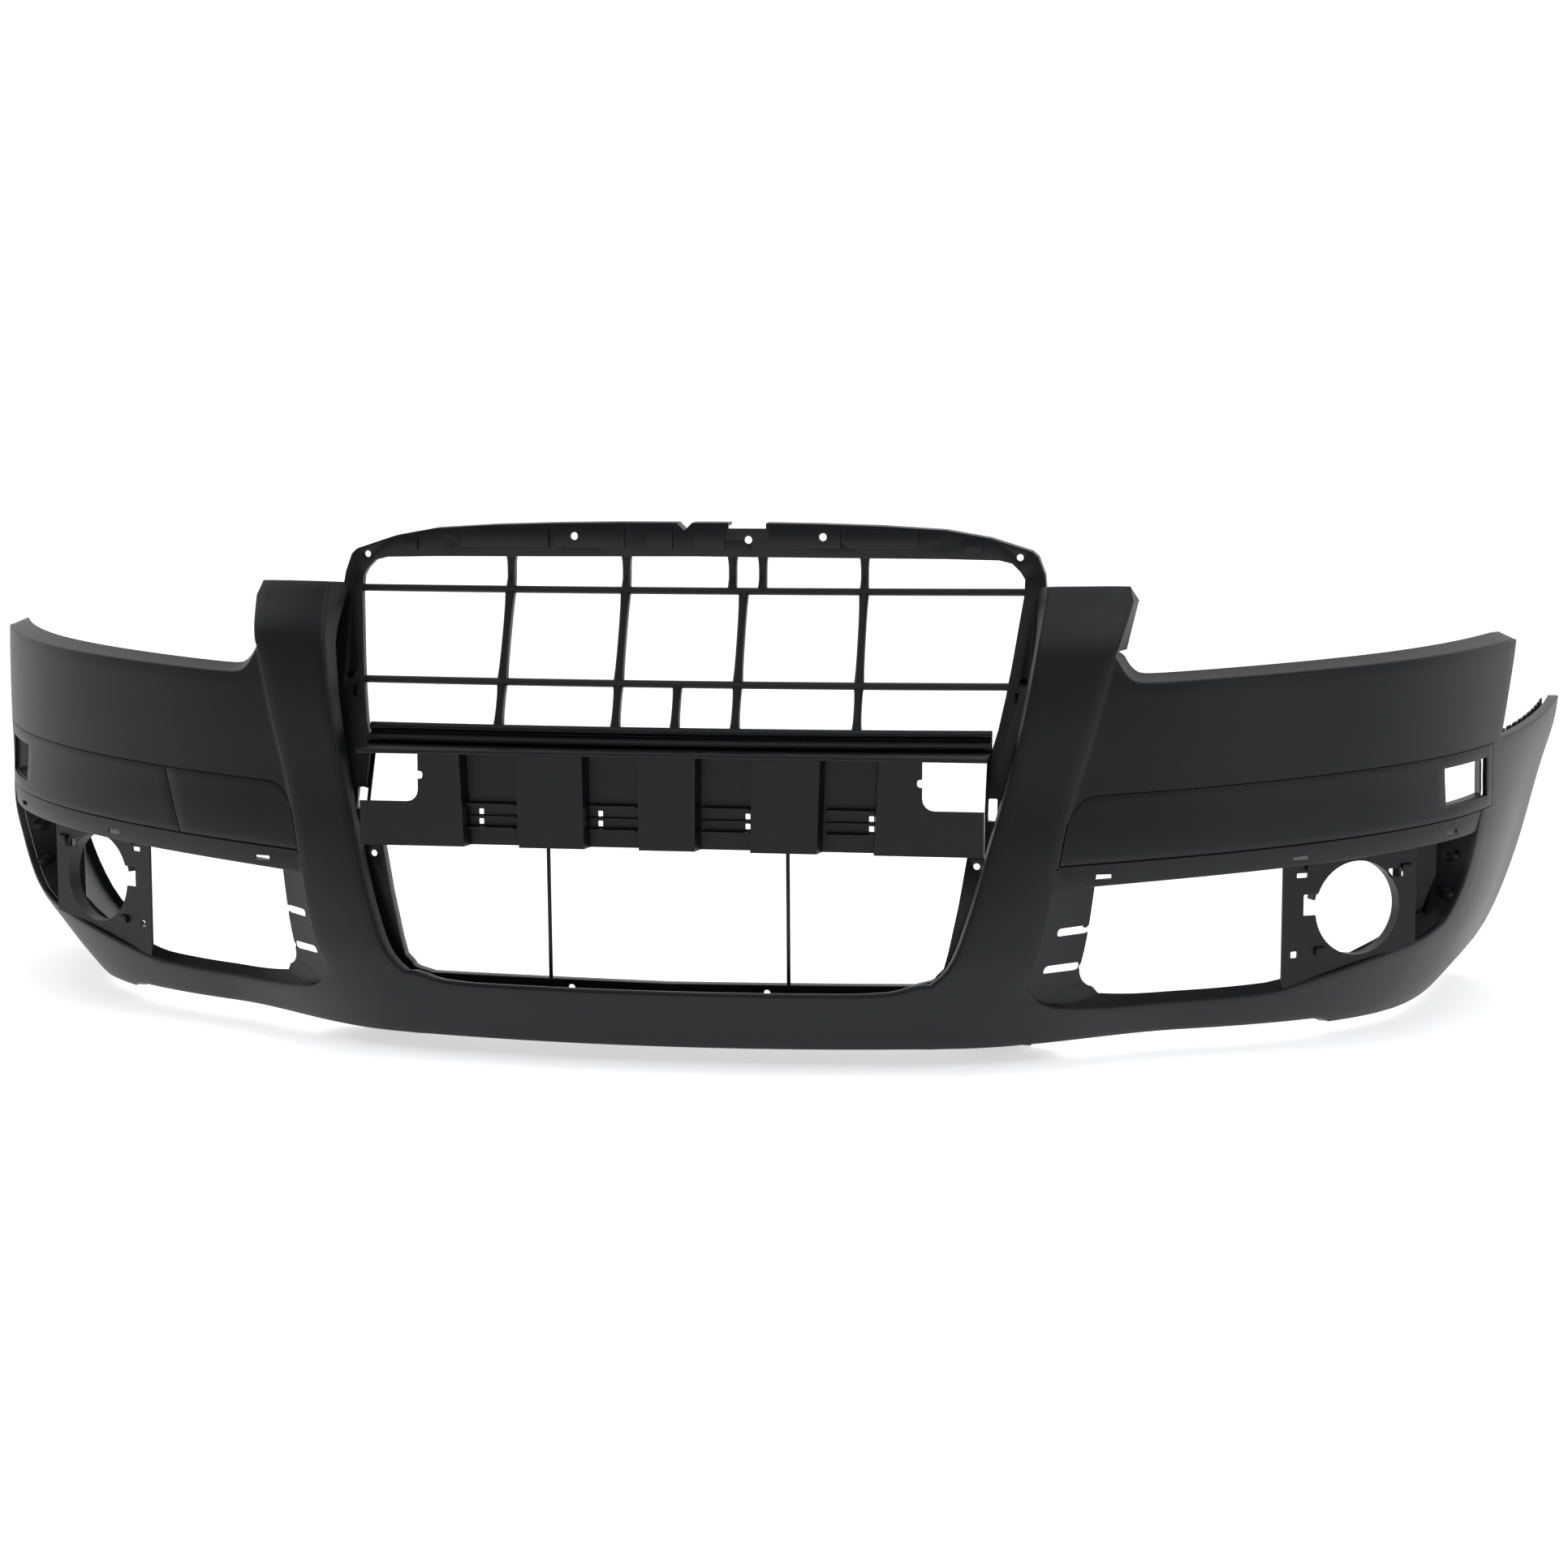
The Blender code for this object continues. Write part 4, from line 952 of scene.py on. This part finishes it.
# Lamp bracket: a plate turned outwards, with a collar behind its hole and a bay that closes the corner
lampPlate = {
    "startS": 668.0,
    "length": 156.0,
    "thick": 3.0,
    "turn": 28.0,
    "roofDrop": 20.0,         # the top edge of the plate and of the bay below the strip
    "lampS": 755.0,
    "lampZ": -163.6,
    "radius": 49.0,
    "collarIn": 49.2,
    "collarOut": 52.0,
    "collarEnd": 15.0,
    "keyShare": 0.035,        # half of the share of its round that the collar is open beside its key
    "bayStart": 838.0,
    "bayLength": 60.0,
    "bayBow": 12.0,
    "bayThick": 2.0,
}
# each opening's place along the plate and height, then its width and height
plateSlots = ((704, -158, 24, 22), (682, -209, 8, 7), (690, -127, 13, 5), (800, -129, 18, 9))
lugSpots = ((700, -118), (712, -206), (812, -124))


def platePoint(s, z, depth=0.0):
    start = wallPoint(lampPlate["startS"], z, backOffset(lampPlate["startS"]) + 4)
    turn = math.radians(lampPlate["turn"])
    along = Vector((math.cos(turn), math.sin(turn), 0)) * (s - lampPlate["startS"])
    return start + along + Vector((-math.sin(turn), math.cos(turn), 0)) * depth


def makeLampPlate():
    thick = lampPlate["thick"]
    rings = []
    for k in range(17):
        s = lampPlate["startS"] + lampPlate["length"] * k / 16
        lowZ, highZ = cover["sillZ"] + recessFloor(s + 4) + 4, stripLowZ(s) - lampPlate["roofDrop"]
        rings.append([platePoint(s, lowZ), platePoint(s, highZ), platePoint(s, highZ, thick),
                      platePoint(s, lowZ, thick)])
    bm = bmesh.new()
    loft(bm, rings)
    bracket = finishMesh("fogLampBracketRight", bm)
    spot = platePoint(lampPlate["lampS"], lampPlate["lampZ"])
    cutWith(bracket, addDisc(lampPlate["radius"], 60, 96, spot, lampPlate["turn"]))
    for s, z, width, height in plateSlots:
        spot = platePoint(s, z)
        reach = Vector((width / 2, 24, height / 2))
        cutWith(bracket, addBlock(spot - reach, spot + reach, 1.2, lampPlate["turn"]))
    modify(bracket, "BEVEL", width=0.6 * mm, segments=2, limit_method="ANGLE", angle_limit=math.radians(40))
    return bracket


def makeCollar():
    inner, outer, start, end = (lampPlate[key] for key in ("collarIn", "collarOut", "thick", "collarEnd"))
    section = ((inner, start), (outer, start), (outer, end), (inner, end))
    bm = bmesh.new()
    rings = []
    for k in range(96):
        angle = 2 * math.pi * k / 96
        spots = [platePoint(lampPlate["lampS"] + radius * math.cos(angle),
                            lampPlate["lampZ"] + radius * math.sin(angle), depth)
                 for radius, depth in section]
        rings.append([bm.verts.new(place(spot)) for spot in spots])
    for k in range(96):
        near, far = rings[k], rings[(k + 1) % 96]
        if abs(k / 96 - 0.5) >= lampPlate["keyShare"]:
            for side in range(4):
                bm.faces.new([near[side], near[(side + 1) % 4], far[(side + 1) % 4], far[side]])
    return finishMesh("lampCollar", bm)


def makeBay():
    rings = []
    for k in range(17):
        s = lampPlate["bayStart"] + lampPlate["bayLength"] * k / 16
        lowZ, highZ = cover["sillZ"] + recessFloor(min(s, 880)) + 6, stripLowZ(s) - lampPlate["roofDrop"]
        front = backOffset(s) - 3 + lampPlate["bayBow"] * math.sin(math.pi * k / 16)
        back = front + lampPlate["bayThick"]
        rings.append([wallPoint(s, lowZ, front), wallPoint(s, highZ, front), wallPoint(s, highZ, back),
                      wallPoint(s, lowZ, back)])
    bm = bmesh.new()
    loft(bm, rings)
    bay = finishMesh("lampBay", bm)
    spot = wallPoint(868, -134, backOffset(868) + 4)
    cutWith(bay, addBlock(spot - Vector((9, 20, 11)), spot + Vector((9, 20, 11)), 4, turnAt(868)))
    return bay


def makeLug(s, z):
    spot = platePoint(s, z, 1)
    return addBlock(spot - Vector((6, 5, 4)), spot + Vector((6, 3, 4)), 1.2, lampPlate["turn"])


bracket = join(makeLampPlate(), makeCollar(), makeBay(), *[makeLug(s, z) for s, z in lugSpots])
smooth(bracket, 34)
bracketLeft = mirrorCopy(bracket, "fogLampBracketLeft")
finishPiece(bracket, blackPlastic, "cover", "black_plastic", "fog_lamp_bracket_right")
finishPiece(bracketLeft, blackPlastic, "cover", "black_plastic", "fog_lamp_bracket_left")


def makeMarkerSeat():
    lowS, highS = cover["markerS"] + 1, outerS(-50) - 1
    rings = []
    for depth, shrink, lean in ((6.4, -0.6, 0.0), (9.0, -0.6, 3.0), (14.0, -0.6, 9.0), (17.0, -0.6, 12.0)):
        near, far = lowS + shrink, highS - shrink + lean
        corners = [(near, markerLowZ(near) + 1 + shrink), (far, markerLowZ(far) + 1 + shrink),
                   (far, markerHighZ(far) - 1 - shrink), (near, markerHighZ(near) - 1 - shrink)]
        ring = []
        for (s0, z0), (s1, z1) in zip(corners, corners[1:] + corners[:1]):
            ring += [skinPoint(s0 + (s1 - s0) * k / 6, z0 + (z1 - z0) * k / 6, depth) for k in range(6)]
        rings.append(ring)
    bm = bmesh.new()
    loft(bm, rings)
    caps = [face for face in bm.faces if len(face.verts) > 4]
    bmesh.ops.delete(bm, geom=caps, context="FACES_ONLY")
    bmesh.ops.recalc_face_normals(bm, faces=bm.faces)
    seat = meshObject("markerSeatRight", bm)
    modify(seat, "SOLIDIFY", thickness=2.0 * mm, offset=1.0)
    smooth(seat, 34)
    return seat


seatRight = makeMarkerSeat()
seatLeft = mirrorCopy(seatRight, "markerSeatLeft")
finishPiece(seatRight, blackPlastic, "cover", "black_plastic", "marker_seat_right")
finishPiece(seatLeft, blackPlastic, "cover", "black_plastic", "marker_seat_left")

for node in ("lower_frame", "under_panel", "undertray_tab_left", "undertray_tab_right", "fender_guide_left",
             "fender_guide_right"):
    finishPiece(refined(node, 0.9), blackPlastic, "cover", "black_plastic", node)
for node in ("support_rod_left", "support_rod_right"):
    finishPiece(refined(node, 0.4, 2, 60), blackPlastic, "cover", "black_plastic", node)

# Floor, light and camera
bpy.ops.mesh.primitive_plane_add(size=60, location=(0, 0, -0.001))
floor = bpy.context.active_object
floor.name = "studioFloor"
floorPaint = bpy.data.materials.new("white_studio_floor")
floorPaint.use_nodes = True
floorShader = floorPaint.node_tree.nodes["Principled BSDF"]
floorShader.inputs["Base Color"].default_value = linear("#ffffff")
floorShader.inputs["Emission Color"].default_value = linear("#ffffff")
floorShader.inputs["Emission Strength"].default_value = 0.6
floorShader.inputs["Roughness"].default_value = 0.9
floor.data.materials.append(floorPaint)
floor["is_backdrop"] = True

# A white room behind and above, and a dimmer one behind the camera, so that the dark satin stays dark
world = bpy.data.worlds.new("studio")
world.use_nodes = True
air = world.node_tree
direction = addNode(air, "ShaderNodeTexCoord").outputs["Generated"]
facing = addNode(air, "ShaderNodeSeparateXYZ", [(direction, "Vector")])
away = addNode(air, "ShaderNodeMapRange", [(facing.outputs["Y"], "Value")], in_1=-0.35, in_2=0.35, in_3=0.07,
               in_4=1.05)
air.links.new(away.outputs["Result"], air.nodes["Background"].inputs["Strength"])
air.nodes["Background"].inputs["Color"].default_value = linear("#ffffff")
bpy.context.scene.world = world
bpy.context.scene.view_settings.view_transform = "Standard"

lights = {
    "overheadBox": {"at": (0.4, -1.6, 3.6), "size": 4.0, "power": 55, "colour": "#f6f8ff"},
    "sideBox": {"at": (3.4, -2.4, 1.6), "size": 1.6, "power": 13, "colour": "#eaf0ff"},
    "farBox": {"at": (-3.6, -2.0, 1.8), "size": 1.6, "power": 8, "colour": "#fff4ea"},
}
for name, look in lights.items():
    bpy.ops.object.light_add(type="AREA", location=look["at"])
    lamp = bpy.context.active_object
    lamp.name = name
    lamp.data.size = look["size"]
    lamp.data.energy = look["power"]
    lamp.data.color = linear(look["colour"])[:3]
    lamp.rotation_euler = (Vector((0, 0, 0.25)) - lamp.location).to_track_quat("-Z", "Y").to_euler()

view = {"at": (550.9, -2747.0, 308.2), "turn": 8.95, "tilt": 6.74, "lens": 65.2174, "sensor": 36}
camera = bpy.data.objects.new("camera", bpy.data.cameras.new("camera"))
bpy.context.scene.collection.objects.link(camera)
camera.location = place(view["at"])
camera.rotation_euler = (math.radians(90 - view["tilt"]), 0, math.radians(view["turn"]))
camera.data.sensor_width = view["sensor"]
camera.data.lens = view["lens"]
camera.data.clip_end = 100
bpy.context.scene.camera = camera

visualBox = [[float(value) for value in corner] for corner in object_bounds()]
note("cad %s visual %s" % (cadBox, visualBox))
